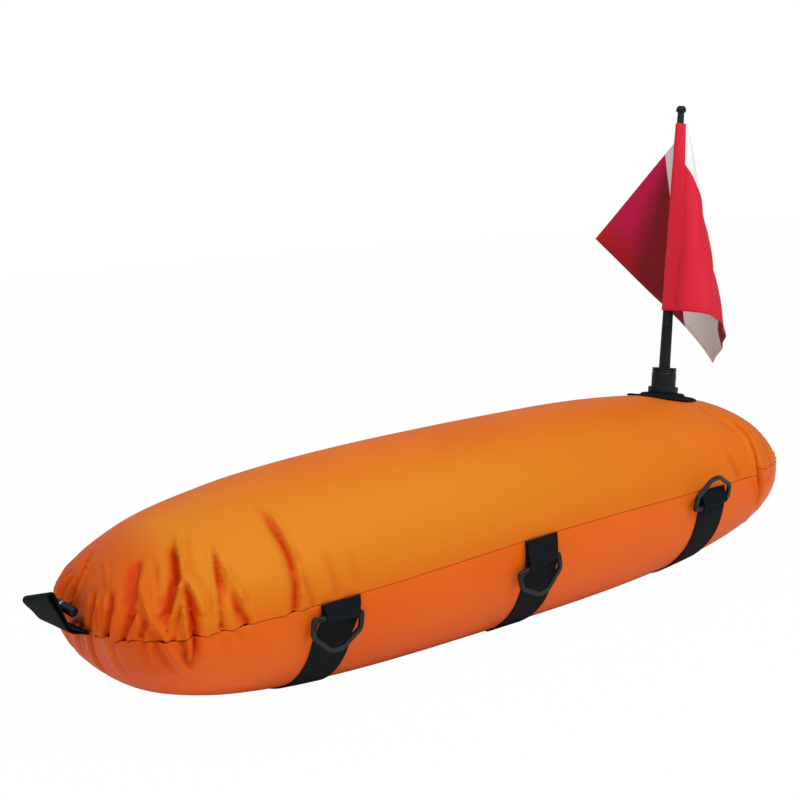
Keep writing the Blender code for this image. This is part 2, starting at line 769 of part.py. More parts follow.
def make_socket():
    frame = pole_frame()
    origin = frame.translation
    way = pole_way()
    bore = POLE_BASE_RADIUS + FIT_GAP
    floor = SOCKET_SEAT + SOCKET_FLOOR
    round_off = FIT_GAP * 3
    body = [
        (0, SOCKET_SEAT), (SOCKET_FLANGE_RADIUS, SOCKET_SEAT), (SOCKET_FLANGE_RADIUS, flange_top()),
        (SOCKET_RADIUS, flange_top()), (SOCKET_RADIUS, SOCKET_HEIGHT - round_off),
        (SOCKET_RADIUS - round_off, SOCKET_HEIGHT), (bore, SOCKET_HEIGHT), (bore, floor), (0, floor),
    ]
    turned("flag_socket", body, ROUND_SIDES, black_plastic(), origin, way)
    seat = flange_top() + FIT_GAP + PATCH_THICKNESS + FIT_GAP
    inner = SOCKET_RADIUS + FIT_GAP
    nut = [
        (inner, seat), (NUT_RADIUS, seat), (NUT_RADIUS, seat + NUT_HEIGHT - round_off),
        (NUT_RADIUS - round_off, seat + NUT_HEIGHT), (inner, seat + NUT_HEIGHT), (inner, seat),
    ]
    turned("socket_nut", nut, ROUND_SIDES, black_plastic(), origin, way)


def pole_radius(height):
    share = (height - SOCKET_HEIGHT) / (POLE_HEIGHT - SOCKET_HEIGHT)
    return POLE_BASE_RADIUS + (POLE_TIP_RADIUS - POLE_BASE_RADIUS) * min(1.0, max(0.0, share))


def make_pole():
    origin = pole_frame().translation
    way = pole_way()
    foot = SOCKET_SEAT + SOCKET_FLOOR + FIT_GAP
    pole = [(0, foot), (POLE_BASE_RADIUS, foot), (POLE_BASE_RADIUS, SOCKET_HEIGHT),
            (POLE_TIP_RADIUS, POLE_HEIGHT), (0, POLE_HEIGHT)]
    turned("flag_pole", pole, ROUND_SIDES, black_plastic(), origin, way)
    low = SOCKET_HEIGHT + FIT_GAP
    high = low + COLLAR_THICKNESS
    inner = POLE_BASE_RADIUS + FIT_GAP
    collar = [(inner, low), (COLLAR_RADIUS, low), (COLLAR_RADIUS, high), (inner, high), (inner, low)]
    turned("pole_collar", collar, ROUND_SIDES, black_plastic(), origin, way)
    base = POLE_HEIGHT + FIT_GAP
    tip = [(0, base)]
    steps = 5
    for i in range(steps + 1):
        angle = math.pi / 2 * i / steps
        tip.append((TIP_RADIUS * math.cos(angle), base + TIP_HEIGHT * (0.35 + 0.65 * math.sin(angle))))
    tip.insert(1, (POLE_TIP_RADIUS, base))
    turned("pole_tip", tip, SMALL_SIDES * 2, black_plastic(), origin, way)


def make_sleeve():
    """The hem that the pole runs through, open at both ends."""
    top = FLAG_FOOT + FLAG_HOIST
    profile = []
    for height in (FLAG_FOOT, top):
        profile.append((pole_radius(height) + FIT_GAP * 2 + SLEEVE_THICKNESS, height))
    for height in (top, FLAG_FOOT):
        profile.append((pole_radius(height) + FIT_GAP * 2, height))
    profile.append(profile[0])
    turned("flag_sleeve", profile, SMALL_SIDES * 2, flag_nylon(), pole_frame().translation, pole_way())


def hoist_point(up):
    """Where the cloth leaves the sleeve, on the sleeve's back."""
    height = FLAG_FOOT + up
    radius = pole_radius(height) + 3 * FIT_GAP + SLEEVE_THICKNESS + FLAG_THICKNESS / 2
    return Vector((-math.sin(FLAG_HEADING) * radius, math.cos(FLAG_HEADING) * radius, height))


def flag_ray(fan):
    """Way of the cloth's straight line at the angle fan from the hoist.

    The cloth fans out from a point above its top corner, so it folds with no stretch.
    """
    ray = (hoist_point(0.0) - hoist_point(FLAG_HOIST)).normalized()
    ahead = Vector((math.cos(FLAG_HEADING), math.sin(FLAG_HEADING), 0))
    left = fan
    for span, curl in FLAG_FOLD_SHARES:
        step = min(left, span)
        tilt = math.atan2(1, curl)
        axis = ray * math.cos(tilt) - ray.cross(ahead) * math.sin(tilt)
        turn = Matrix.Rotation(-step / math.sin(tilt), 3, axis)
        ray = turn @ ray
        ahead = turn @ ahead
        left -= step
    return ray


def flag_line(fan):
    """Points of the cloth along one straight line, from its top edge to where the line leaves it."""
    apex = hoist_point(FLAG_HOIST) - flag_ray(0.0) * FLAG_APEX
    ray = flag_ray(fan)
    top = FLAG_APEX / math.cos(fan)
    foot = (FLAG_HOIST + FLAG_APEX) / math.cos(fan)
    fly = FLAG_FLY / math.sin(fan) if fan > 0 else foot
    end = min(foot, fly)
    return [apex + ray * (top + (end - top) * i / FLAG_ROWS) for i in range(FLAG_ROWS + 1)]


def flag_fans():
    """Angles of the cloth's straight lines, close together where it folds."""
    last = math.atan2(FLAG_FLY, FLAG_APEX)
    corner = math.atan2(FLAG_FLY, FLAG_HOIST + FLAG_APEX)
    fans = [corner]
    done = 0.0
    for span, curl in FLAG_FOLD_SHARES:
        span = min(span, last - done)
        steps = math.ceil(span * math.hypot(1, curl) / FLAG_STEP)
        fans += [done + span * i / steps for i in range(steps)]
        done += span
    return sorted(fan for fan in fans if fan == corner or abs(fan - corner) > FLAG_STEP / 9)


def make_flag():
    bm = bmesh.new()
    lines = [[bm.verts.new(point) for point in flag_line(fan)] for fan in flag_fans()]
    tip = bm.verts.new(flag_line(math.atan2(FLAG_FLY, FLAG_APEX))[0])
    lines.append([tip] * (FLAG_ROWS + 1))
    for line, after in zip(lines, lines[1:]):
        for k in range(FLAG_ROWS):
            corners = dict.fromkeys((line[k], after[k], after[k + 1], line[k + 1]))
            bm.faces.new(list(corners))
    bmesh.ops.recalc_face_normals(bm, faces=bm.faces)
    front = list(bm.verts)
    faces = list(bm.faces)
    rims = [edge for edge in bm.edges if edge.is_boundary]
    for vert in front:
        vert.normal_update()
    half = FLAG_THICKNESS / 2
    back = {vert: bm.verts.new(vert.co - vert.normal * half) for vert in front}
    for vert in front:
        vert.co += vert.normal * half
    for face in faces:
        bm.faces.new([back[vert] for vert in reversed(face.verts)])
    for edge in rims:
        start, end = edge.verts
        bm.faces.new((start, end, back[end], back[start]))
    flag = add_object("flag_cloth", bm, flag_nylon())
    flag.matrix_world = pole_frame()


def main():
    clear_scene()
    cutter = valve_cutter()
    make_cover(cutter)
    make_bladder(cutter)
    make_bands_and_rings()
    make_towing_loop()
    make_valve()
    make_patch()
    make_socket()
    make_pole()
    make_sleeve()
    make_flag()


main()
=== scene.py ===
import math

import bmesh
import bpy
import numpy as np
from mathutils import Matrix, Vector, noise


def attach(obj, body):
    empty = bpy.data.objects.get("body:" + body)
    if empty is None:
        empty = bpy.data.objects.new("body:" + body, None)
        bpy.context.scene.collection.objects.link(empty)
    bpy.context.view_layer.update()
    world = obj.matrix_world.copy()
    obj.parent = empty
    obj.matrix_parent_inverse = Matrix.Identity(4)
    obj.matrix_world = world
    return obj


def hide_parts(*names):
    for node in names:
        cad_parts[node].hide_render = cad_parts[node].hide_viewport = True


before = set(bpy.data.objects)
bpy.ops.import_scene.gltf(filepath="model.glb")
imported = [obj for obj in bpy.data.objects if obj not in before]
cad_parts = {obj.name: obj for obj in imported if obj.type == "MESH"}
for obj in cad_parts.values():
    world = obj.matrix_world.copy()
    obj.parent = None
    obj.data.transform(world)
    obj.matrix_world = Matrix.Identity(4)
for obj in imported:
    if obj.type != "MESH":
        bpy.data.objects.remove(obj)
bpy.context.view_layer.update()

# The inflated body, in metres: the same sizes as the solids have
BODY_LENGTH = 0.8126
BODY_WIDTH = 0.218
BODY_HEIGHT = 0.2092
SEAM_LIFT = 0.0012
SEAM_SWING = 0.0046
SEAM_SWING_PLACE = -0.080
SEAM_SWING_SPAN = 0.120
BELLY_FLAT_DROP = 0.0081
FIT_GAP = 0.0003
PANEL_GAP = 0.0001
LOOP_END_PLAN_SHARES = (14.0, 3.12)
FLAG_END_PLAN_SHARES = (9.04, 2.72)
LOOP_END_SIDE_SHARES = (3.144, 2.605)
FLAG_END_SIDE_SHARES = (2.872, 2.77)
COVER_THICKNESS = 0.0009

# Webbing, tabs and rings
WEBBING_WIDTH = 0.040
WEBBING_THICKNESS = 0.0013
SEAM_SETBACK = -0.0002
TAB_WIDTH = 0.034
TAB_SHIFT = -0.0030
BANDS = {
    "near": (BODY_LENGTH * -0.26827, 0.0115, math.radians(-4)),
    "middle": (BODY_LENGTH * 0.01108, 0.0215, math.radians(12)),
    "far": (BODY_LENGTH * 0.30212, 0.0135, math.radians(5.5)),
}
BAND_BOWS = {"near": -0.0090, "middle": 0.0, "far": -0.0020}
RING_WIDTH = 0.053
RING_HEIGHT = 0.0350
RING_BAR = 0.0045
RING_STRAIGHT = 0.0160
RING_TIP_WIDTH = 0.0130
RING_HANGING_ANGLE = math.radians(-9)
RING_RAISED_ANGLE = math.radians(160)
RING_SLIDE = -0.0040

# Towing loop
NEAR_KNEE = (0.0166, 0.0059)
FAR_KNEE = (0.0240, 0.0118)
NEAR_HEAD = (0.0280, 0.0385)
FAR_HEAD = (0.0340, 0.0296)
HEAD_RADIUS = 0.0030
KNEE_ROUNDING = 0.0050
LOOP_DROP = 0.0020

# Inflation valve
VALVE_SIDE = 0.014
VALVE_HEIGHT = 0.0127
VALVE_TILT = math.radians(36)
VALVE_FLANGE_RADIUS = 0.0062
VALVE_FLANGE_THICKNESS = 0.0014
VALVE_STEM_RADIUS = 0.0046
VALVE_STEM_LENGTH = 0.019
VALVE_TUBE_RADIUS = 0.0032
VALVE_BORE_RADIUS = 0.0018
VALVE_TUBE_RISE = 0.0165
VALVE_TUBE_LENGTH = 0.0290
VALVE_TUBE_BEND = 0.0055
VALVE_TURN = math.radians(78)
VALVE_DROP = math.radians(14)
VALVE_RING_WIDTH = 0.0022
VALVE_RING_RADIUS = 0.0040
VALVE_CAP_LENGTH = 0.0150
VALVE_CAP_RADIUS = 0.0044

# Socket, pole and flag
SOCKET_PLACE = BODY_LENGTH * 0.35811
POLE_LEAN = math.radians(9.0)
PATCH_RADIUS = 0.039
PATCH_THICKNESS = 0.0010
PATCH_GAP = 0.0005
SOCKET_RADIUS = 0.0133
SOCKET_HEIGHT = 0.0290
SOCKET_FLOOR = 0.0022
SOCKET_SEAT = 0.0008
SOCKET_FLANGE_RADIUS = 0.021
SOCKET_FLANGE_THICKNESS = 0.0012
NUT_RADIUS = 0.0164
NUT_HEIGHT = 0.0066
POLE_BASE_RADIUS = 0.0062
POLE_TIP_RADIUS = 0.0036
POLE_HEIGHT = 0.3020
COLLAR_RADIUS = 0.0134
COLLAR_THICKNESS = 0.0016
TIP_RADIUS = 0.0053
TIP_HEIGHT = 0.0086
FLAG_HOIST = 0.199
FLAG_FLY = 0.1862
FLAG_FOOT = 0.0930
FLAG_THICKNESS = 0.0007
SLEEVE_THICKNESS = 0.0007
FLAG_HEADING = math.radians(-141.15)
FLAG_APEX = 0.0094
FLAG_FOLDS = ((0.0506, 1.9333), (0.2882, 9.2996), (0.5882, 2.5968), (1.2, -0.011))
HEM_REACH = 0.016
STRIPE_HALF_WIDTH = 0.0300
STRIPE_SHIFT = 0.0062

BELLY_DEPTH = BODY_HEIGHT / 2 - BELLY_FLAT_DROP
SEAM_HEIGHT = BELLY_DEPTH + 1.5 * FIT_GAP + WEBBING_THICKNESS
HALF_LENGTH = BODY_LENGTH / 2
HALF_WIDTH = BODY_WIDTH / 2
HALF_HEIGHT = BODY_HEIGHT / 2
CORE_HALF_LENGTH = HALF_LENGTH - HALF_WIDTH
UPPER = 1
LOWER = -1
NEAR_SIDE = -1
FAR_SIDE = 1
MM = 0.001

# The camera, as the photograph was taken: angles in radians, sizes in pixels of 800
VIEW_SIZE = 800
VIEW_AZIMUTH = -0.648
VIEW_ELEVATION = 0.226
VIEW_ROLL = -0.079
VIEW_DISTANCE = 1.450
VIEW_FOCUS = 1460.2
VIEW_CENTRE = (457.7, 513.2)
VIEW_TARGET = Vector((-0.0038, 0.0, 0.0150 + SEAM_HEIGHT))

# Folds of the gathered cover's outer skin: points in mm from the body's middle at the seam plane,
# then width, depth (a ridge is below zero) and lean, which makes one side steeper. The depths are
# multiplied by FOLD_GAIN and the widths by FOLD_NARROWING.
FOLD_GAIN = 2.0
FOLD_NARROWING = 0.78
UPPER_FOLDS = (
    (((-376, 24, 62), (-387, 12, 49), (-394, 7, 41), (-401, 7, 31), (-404, 11, 20)), 4.0, 4.2, 0.4),
    (((-381, -8, 55), (-388, -27, 46), (-392, -33, 41)), 3.0, -0.8, 0.0),
    (((-397, -24, 34), (-402, -28, 22), (-405, -22, 2)), 4.0, 3.4, 0.3),
    (((-400, -38, 26), (-404, -38, 12), (-405, -39, 0)), 3.4, -1.6, 0.0),
    (((-393, -42, 38), (-399, -49, 22), (-404, -46, 0)), 4.2, 3.6, -0.3),
    (((-364, -43, 59), (-377, -57, 46), (-386, -66, 32), (-390, -68, 24)), 7.0, 2.2, 0.5),
    (((-371, -57, 50), (-378, -69, 39), (-381, -79, 28), (-380, -89, 15), (-375, -96, 0)), 3.6, -2.2, 0.3),
    (((-356, -54, 59), (-367, -73, 44), (-375, -86, 28)), 5.0, 1.5, 0.0),
    (((-387, -75, 27), (-396, -72, 12), (-399, -67, 0)), 4.6, 3.2, 0.3),
    (((-384, -84, 18), (-391, -82, 2)), 3.4, 2.2, 0.0),
    (((-338, -49, 67), (-346, -70, 55), (-352, -81, 45), (-362, -89, 32), (-369, -93, 20)), 4.6, 4.0, 0.5),
    (((-326, -40, 75), (-340, -63, 61), (-348, -81, 46), (-346, -92, 35), (-345, -100, 18)), 4.0, -2.2, -0.2),
    (((-348, -83, 45), (-360, -92, 29), (-369, -96, 15), (-374, -97, 2)), 3.4, -2.2, 0.2),
    (((-348, -85, 42), (-353, -96, 27), (-355, -102, 13), (-356, -103, 0), (-356, -102, -11),
      (-357, -90, -36)), 4.4, 4.6, -0.4),
    (((-353, -89, 36), (-359, -98, 19), (-362, -101, 5)), 3.0, -1.2, 0.0),
    (((-310, -62, 68), (-318, -85, 51), (-324, -96, 36), (-329, -103, 20), (-332, -107, 1)), 4.2, 2.8, -0.3),
    (((-309, -60, 69), (-314, -83, 53), (-315, -91, 45), (-314, -100, 32), (-310, -105, 19)), 4.2, -1.6, 0.2),
    (((-316, -92, 42), (-314, -102, 28), (-314, -107, 12), (-308, -108, 0)), 5.0, 2.4, 0.5),
    (((-262, -50, 84), (-256, -68, 74), (-256, -84, 60), (-255, -99, 40), (-257, -107, 18),
      (-261, -109, 0)), 4.6, 2.9, 0.5),
    (((-252, -99, 38), (-248, -107, 18), (-245, -109, 0)), 4.6, 1.1, 0.0),
    (((-224, -98, 42), (-222, -108, 20), (-221, -109, 4)), 5.5, 0.8, 0.0),
    (((-197, -100, 39), (-200, -108, 11)), 6.5, 0.6, 0.0),
)
# One of them runs on below the seam
CROSSING_FOLD = (UPPER_FOLDS[13][0], 3.6, 3.8, -0.4)
LOWER_FOLDS = (
    (((-387, -87, 0), (-386, -84, -12)), 3.4, -1.2, 0.0),
    (((-377, -95, 0), (-369, -95, -17), (-357, -88, -38)), 3.8, -2.8, 0.3),
    (((-366, -100, 0), (-362, -98, -17), (-357, -90, -33)), 4.2, 2.2, 0.0),
    (((-361, -87, -34), (-349, -63, -57)), 6.0, -1.0, 0.0),
    (((-328, -107, 0), (-318, -102, -26)), 5.0, -1.2, 0.0),
    (((-346, -104, -6), (-350, -98, -26)), 6.0, 1.3, 0.0),
)
FLAG_END_FOLDS = (
    (((313, -50, 73), (320, -66, 63), (325, -78, 52), (327, -89, 40), (325, -99, 25), (322, -103, 9),
      (322, -104, 0), (326, -103, -8), (328, -99, -21), (331, -84, -43)), 4.7, 6.8, -0.2),
    (((350, -66, 46), (345, -80, 34), (343, -90, 18), (345, -94, 4)), 8.0, -2.4, 0.0),
    (((363, -88, 14), (376, -80, 9), (384, -76, 6)), 3.2, 1.6, 0.0),
    (((282, -97, 38), (288, -105, 18), (292, -106, 8)), 6.0, 1.1, 0.0),
    (((303, -36, 81), (311, -59, 69), (317, -73, 59)), 5.0, -1.2, 0.2),
    (((345, -78, -45), (352, -60, -56)), 7.0, 1.8, 0.0),
)


def end_share(place, powers):
    return np.maximum(0.0, 1.0 - np.abs(place) ** powers[0]) ** (1.0 / powers[1])


def plan_share(place):
    return np.where(place < 0, end_share(place, LOOP_END_PLAN_SHARES), end_share(place, FLAG_END_PLAN_SHARES))


def side_share(place):
    return np.where(place < 0, end_share(place, LOOP_END_SIDE_SHARES), end_share(place, FLAG_END_SIDE_SHARES))


def seam_angle(place):
    x = place * HALF_LENGTH
    lift = SEAM_LIFT + SEAM_SWING * np.tanh((x - SEAM_SWING_PLACE) / SEAM_SWING_SPAN)
    return lift / HALF_HEIGHT


def skin_points(place, turn, side, out=0.0):
    """Points of the smooth inflated body: place runs along it and turn round one side."""
    start = seam_angle(place) * side
    angle = start + turn * (math.pi - 2 * start) / math.pi
    x = place * (HALF_LENGTH + out)
    y = -(HALF_WIDTH + out) * plan_share(place) * np.cos(angle)
    z = (HALF_HEIGHT + out) * side_share(place) * np.sin(angle)
    if side == LOWER:
        z = np.minimum(z, BELLY_DEPTH + out)
    return np.stack(np.broadcast_arrays(x, y, SEAM_HEIGHT + side * (PANEL_GAP / 2 + z)), axis=-1)


def skin(x, turn, side, out=0.0):
    place = np.array(x / (HALF_LENGTH + out))
    return Vector(skin_points(place, np.array(turn), side, out))


# Materials: procedural, on a piece's own coordinates or on its flat UVs in metres

def node(owner, kind, inputs=None, **settings):
    """Adds a node to a material or world; an input is a value or another node's output."""
    tree = owner.node_tree
    added = tree.nodes.new(kind)
    for name, value in settings.items():
        setattr(added, name, value)
    for name, value in (inputs or {}).items():
        if isinstance(value, bpy.types.NodeSocket):
            tree.links.new(value, added.inputs[name])
        else:
            added.inputs[name].default_value = value
    return added


def new_material(name, colour, roughness, **sockets):
    made = bpy.data.materials.new(name)
    made.use_nodes = True
    shader = made.node_tree.nodes["Principled BSDF"]
    for socket, value in {"Base_Color": (*colour, 1), "Roughness": roughness, **sockets}.items():
        shader.inputs[socket.replace("_", " ")].default_value = value
    return made


def set_input(made, name, output):
    made.node_tree.links.new(output, made.node_tree.nodes["Principled BSDF"].inputs[name])


def coordinates(made, kind):
    return node(made, "ShaderNodeTexCoord").outputs[kind]


def attribute(made, name):
    return node(made, "ShaderNodeAttribute", attribute_name=name).outputs["Fac"]


def blotches(made, where, scale, detail=3.0, roughness=0.55):
    inputs = {"Vector": where, "Scale": scale, "Detail": detail, "Roughness": roughness}
    return node(made, "ShaderNodeTexNoise", inputs).outputs["Fac"]


def stripes(made, where, scale, direction, distortion=0.0):
    inputs = {"Vector": where, "Scale": scale, "Distortion": distortion}
    wave = node(made, "ShaderNodeTexWave", inputs, wave_type="BANDS", bands_direction=direction,
                wave_profile="SIN")
    return wave.outputs["Fac"]


def maths(owner, operation, first, second=0.0):
    return node(owner, "ShaderNodeMath", {0: first, 1: second}, operation=operation).outputs[0]


def weave(made, where, scale):
    return maths(made, "MULTIPLY", stripes(made, where, scale, "X"), stripes(made, where, scale, "Y"))


def between(made, share, low, high):
    """A number that goes from low to high with the share."""
    return node(made, "ShaderNodeMapRange", {"Value": share, "To Min": low, "To Max": high}).outputs["Result"]


def eased(made, value, start, end):
    """A share that eases from 0 at the start to 1 at the end."""
    inputs = {"Value": value, "From Min": start, "From Max": end}
    return node(made, "ShaderNodeMapRange", inputs, interpolation_type="SMOOTHSTEP").outputs["Result"]


def ramp(made, share, low, high, start=0.0, end=1.0):
    """A colour that goes from low to high as the share goes from start to end."""
    added = node(made, "ShaderNodeValToRGB", {"Fac": share})
    for stop, colour, position in zip(added.color_ramp.elements, (low, high), (start, end)):
        stop.color = (*colour, 1)
        stop.position = position
    return added.outputs["Color"]


def mixed(made, share, first, second):
    """The first colour, a node's output, turned into the second with the share."""
    inputs = {"Factor": share, 6: first, 7: (*second, 1)}
    return node(made, "ShaderNodeMix", inputs, data_type="RGBA").outputs[2]


def bump(made, height, distance, strength=1.0, under=None):
    inputs = {"Height": height, "Distance": distance, "Strength": strength}
    if under is not None:
        inputs["Normal"] = under
    return node(made, "ShaderNodeBump", inputs).outputs["Normal"]


def coated_nylon(name, low, high, painted_sheen=None):
    """Satin orange nylon: a fine plain weave and slight crinkles, redder inside its folds as painted shade.
    """
    made = new_material(name, high, 0.45, Specular_IOR_Level=0.20, Specular_Tint=(1.0, 0.55, 0.20, 1.0))
    solid = coordinates(made, "Object")
    colour = ramp(made, blotches(made, solid, 7.0, 2.0), low, high, 0.35, 0.65)
    # Painted sheen: a yellower patch on the near side of the upper panel.
    if painted_sheen is not None:
        place = node(made, "ShaderNodeSeparateXYZ", {"Vector": solid})
        share = 1.0
        for axis, start, end in PAINTED_SHEEN_EDGES:
            share = maths(made, "MULTIPLY", share, eased(made, place.outputs[axis], start, end))
        colour = mixed(made, share, colour, painted_sheen)
    # Painted shade: the crease attribute turns the colour redder in creases and on the loop end.
    set_input(made, "Base Color", mixed(made, attribute(made, "crease"), colour, CREASE_SHADE_COLOUR))
    crinkles = bump(made, blotches(made, solid, 90.0, 4.0, 0.6), 0.0006, 0.30)
    threads = weave(made, coordinates(made, "UV"), 500.0)
    set_input(made, "Normal", bump(made, threads, 0.00006, 0.35, crinkles))
    set_input(made, "Roughness", between(made, blotches(made, solid, 40.0), 0.40, 0.52))
    return made


def polyester_webbing():
    """Black belting: ribs along its length, crossed by short picks, with dull worn ribs."""
    made = new_material("webbing", (0.005, 0.007, 0.008), 0.80, Specular_IOR_Level=0.10)
    flat = coordinates(made, "UV")
    picks = between(made, stripes(made, flat, 330.0, "X", 0.5), 0.4, 1.0)
    threads = maths(made, "MULTIPLY", stripes(made, flat, 210.0, "Y", 0.2), picks)
    dust = blotches(made, coordinates(made, "Object"), 60.0, 4.0)
    tone = maths(made, "ADD", maths(made, "MULTIPLY", threads, 0.55), maths(made, "MULTIPLY", dust, 0.45))
    set_input(made, "Base Color", ramp(made, tone, (0.0026, 0.0046, 0.0056), (0.0090, 0.0140, 0.0165)))
    set_input(made, "Normal", bump(made, threads, 0.00035, 0.9))
    set_input(made, "Roughness", between(made, dust, 0.66, 0.90))
    return made


def moulded_plastic(name, colour, roughness):
    """Moulded plastic with a fine grain and slight scuffs."""
    made = new_material(name, colour, roughness, Specular_IOR_Level=0.26)
    solid = coordinates(made, "Object")
    scuffs = blotches(made, solid, 120.0, 5.0, 0.65)
    lighter = [value * 1.7 + 0.003 for value in colour]
    set_input(made, "Base Color", ramp(made, scuffs, colour, lighter, 0.45, 0.85))
    set_input(made, "Roughness", between(made, scuffs, roughness - 0.06, roughness + 0.10))
    set_input(made, "Normal", bump(made, blotches(made, solid, 1800.0, 2.0), 0.00004, 0.5))
    return made


def polished_metal():
    made = new_material("valve_silver", (0.70, 0.71, 0.72), 0.22, Metallic=1.0)
    turned = blotches(made, coordinates(made, "Object"), 900.0, 2.0)
    set_input(made, "Roughness", between(made, turned, 0.16, 0.32))
    set_input(made, "Normal", bump(made, turned, 0.00003, 0.3))
    return made


def bladder_film():
    """Smooth grey film, slightly creased."""
    made = new_material("bladder_film", (0.30, 0.31, 0.33), 0.35)
    creases = blotches(made, coordinates(made, "Object"), 45.0, 4.0)
    set_input(made, "Base Color", ramp(made, creases, (0.26, 0.27, 0.29), (0.34, 0.35, 0.37)))
    set_input(made, "Normal", bump(made, creases, 0.0008, 0.4))
    return made


def stripe_share(made, flat):
    """1 on the flag's stripe, which runs from the top of the hoist to the foot of the fly."""
    parts = node(made, "ShaderNodeSeparateXYZ", {"Vector": flat})
    diagonal = math.hypot(FLAG_HOIST, FLAG_FLY)
    across = maths(made, "MULTIPLY", parts.outputs["X"], FLAG_HOIST / diagonal)
    along = maths(made, "MULTIPLY", parts.outputs["Y"], FLAG_FLY / diagonal)
    off = maths(made, "SUBTRACT", maths(made, "SUBTRACT", across, along), STRIPE_SHIFT)
    return maths(made, "LESS_THAN", maths(made, "ABSOLUTE", off), STRIPE_HALF_WIDTH)


def flag_cloth_material(name, red, white=None, shades=()):
    """Light polyester in a plain weave, with a stripe if white is given.

    shades are the names of vertex attributes of painted shade, each with the colour that it brings in.
    """
    made = new_material(name, red, 0.55, Specular_IOR_Level=0.16)
    flat = coordinates(made, "UV")
    solid = coordinates(made, "Object")
    shade = blotches(made, solid, 30.0, 3.0)
    colour = ramp(made, shade, [value * 0.88 for value in red], red)
    for mark, tint in shades:
        colour = mixed(made, attribute(made, mark), colour, tint)
    if white is not None:
        colour = mixed(made, stripe_share(made, flat), colour, white)
    set_input(made, "Base Color", colour)
    crumple = bump(made, blotches(made, solid, 55.0, 4.0), 0.0010, 0.35)
    set_input(made, "Normal", bump(made, weave(made, flat, 420.0), 0.00012, 0.5, crumple))
    set_input(made, "Roughness", between(made, shade, 0.48, 0.66))
    return made


def thread(name, colour):
    made = new_material(name, colour, 0.75, Specular_IOR_Level=0.15)
    twist = stripes(made, coordinates(made, "Object"), 900.0, "DIAGONAL")
    set_input(made, "Normal", bump(made, twist, 0.0001, 0.6))
    set_input(made, "Base Color", ramp(made, twist, [value * 0.7 for value in colour], colour))
    return made


# Painted shade: the redder colour of creases and of the loop end, which faces away from the light
CREASE_SHADE_COLOUR = (0.60, 0.046, 0.004)
# Where the upper panel's colour is yellower, as a painted sheen on its near side: along each axis, from none
# of the sheen to all of it
PAINTED_SHEEN_EDGES = (("X", 0.42, -0.12), ("X", -0.43, -0.34), ("Y", 0.03, -0.02), ("Z", 0.206, 0.170),
               ("Z", 0.085, 0.138))
UPPER_NYLON = coated_nylon("nylon_upper", (0.71, 0.137, 0.006), (0.75, 0.155, 0.008), (0.70, 0.216, 0.012))
# The lower panel's nylon is a redder copy of the upper panel's: painted shade on the panel that faces down.
SHADED_LOWER_NYLON = coated_nylon("nylon_lower_painted_shade", (0.76, 0.116, 0.007), (0.81, 0.138, 0.011))
WEBBING = polyester_webbing()
PLASTIC = moulded_plastic("black_plastic", (0.0042, 0.0062, 0.0068), 0.36)
RING_PLASTIC = moulded_plastic("ring_plastic", (0.0110, 0.0130, 0.0155), 0.38)
SILVER = polished_metal()
FILM = bladder_film()
FLAG_FACE = flag_cloth_material("flag_face", (0.72, 0.017, 0.042), (0.88, 0.86, 0.87))
# The back face is a darker, bluer copy of the front face's cloth: painted shade, with light shining through
# the cloth; its marks darken it further towards the pole and redden it along the fly edge.
SHADED_FLAG_BACK = flag_cloth_material("flag_back_painted_shade", (0.62, 0.010, 0.085), (0.82, 0.79, 0.80),
                                (("painted_red_shade", (0.60, 0.010, 0.022)), ("painted_shade", (0.24, 0.010, 0.017))))
FLAG_HEM = flag_cloth_material("flag_hem", (0.74, 0.018, 0.044))
SEAM_THREAD = thread("seam_thread", (0.300, 0.055, 0.008))
BLACK_THREAD = thread("black_thread", (0.006, 0.008, 0.009))
RED_THREAD = thread("red_thread", (0.55, 0.012, 0.030))


# Mesh helpers

MERGE_DISTANCE = 1e-6
CORNER_STEPS = 3
CORNER_SHARE = 0.45
LATHE_SIDES = 48
WIDE_LATHE_SIDES = 72
STITCH_FLATNESS = 1.25
STITCH_WANDER = 2.4


def finish_piece(name, bm, finish, body, replaced=None, sharp=40.0):
    """Turns the bmesh into a piece at the origin that rides on a body."""
    mesh = bpy.data.meshes.new(name)
    bm.to_mesh(mesh)
    bm.free()
    mesh.shade_smooth()
    mesh.set_sharp_from_angle(angle=math.radians(sharp))
    mesh.materials.append(finish)
    piece = bpy.data.objects.new(name, mesh)
    bpy.context.scene.collection.objects.link(piece)
    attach(piece, body)
    if replaced:
        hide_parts(replaced)
    return piece


def modifier(piece, kind, **settings):
    added = piece.modifiers.new(kind.lower(), kind)
    for name, value in settings.items():
        setattr(added, name, value)


def bent_grid(points, flat=None, closed=False, marks=None):
    """A grid whose vertices take the places in points, an array of rows; flat gives its UVs.

    With closed, each row runs once round and its ends are merged. marks are named attributes.
    """
    bm = bmesh.new()
    rows, columns = points.shape[:2]
    bmesh.ops.create_grid(bm, x_segments=rows - 1, y_segments=columns - 1, size=1.0)
    layer = bm.loops.layers.uv.new("flat") if flat is not None else None
    marks = marks or {}
    for name in marks:
        bm.verts.layers.float.new(name)
    index = {}
    for vert in bm.verts:
        i = round((vert.co.x + 1) / 2 * (rows - 1))
        k = round((vert.co.y + 1) / 2 * (columns - 1))
        index[vert] = (i, k)
    for vert, place in index.items():
        vert.co = points[place]
    for name, values in marks.items():
        mark = bm.verts.layers.float[name]
        for vert, place in index.items():
            vert[mark] = values[place]
    if layer is not None:
        for face in bm.faces:
            for loop in face.loops:
                loop[layer].uv = flat[index[loop.vert]]
    if closed:
        bmesh.ops.remove_doubles(bm, verts=bm.verts, dist=MERGE_DISTANCE)
    return bm


def tidy(bm):
    bmesh.ops.remove_doubles(bm, verts=bm.verts, dist=MERGE_DISTANCE)
    bmesh.ops.dissolve_degenerate(bm, edges=bm.edges, dist=MERGE_DISTANCE)
    bmesh.ops.recalc_face_normals(bm, faces=bm.faces)


def frame_along(origin, way):
    return Matrix.Translation(origin) @ way.to_track_quat("Z", "Y").to_matrix().to_4x4()


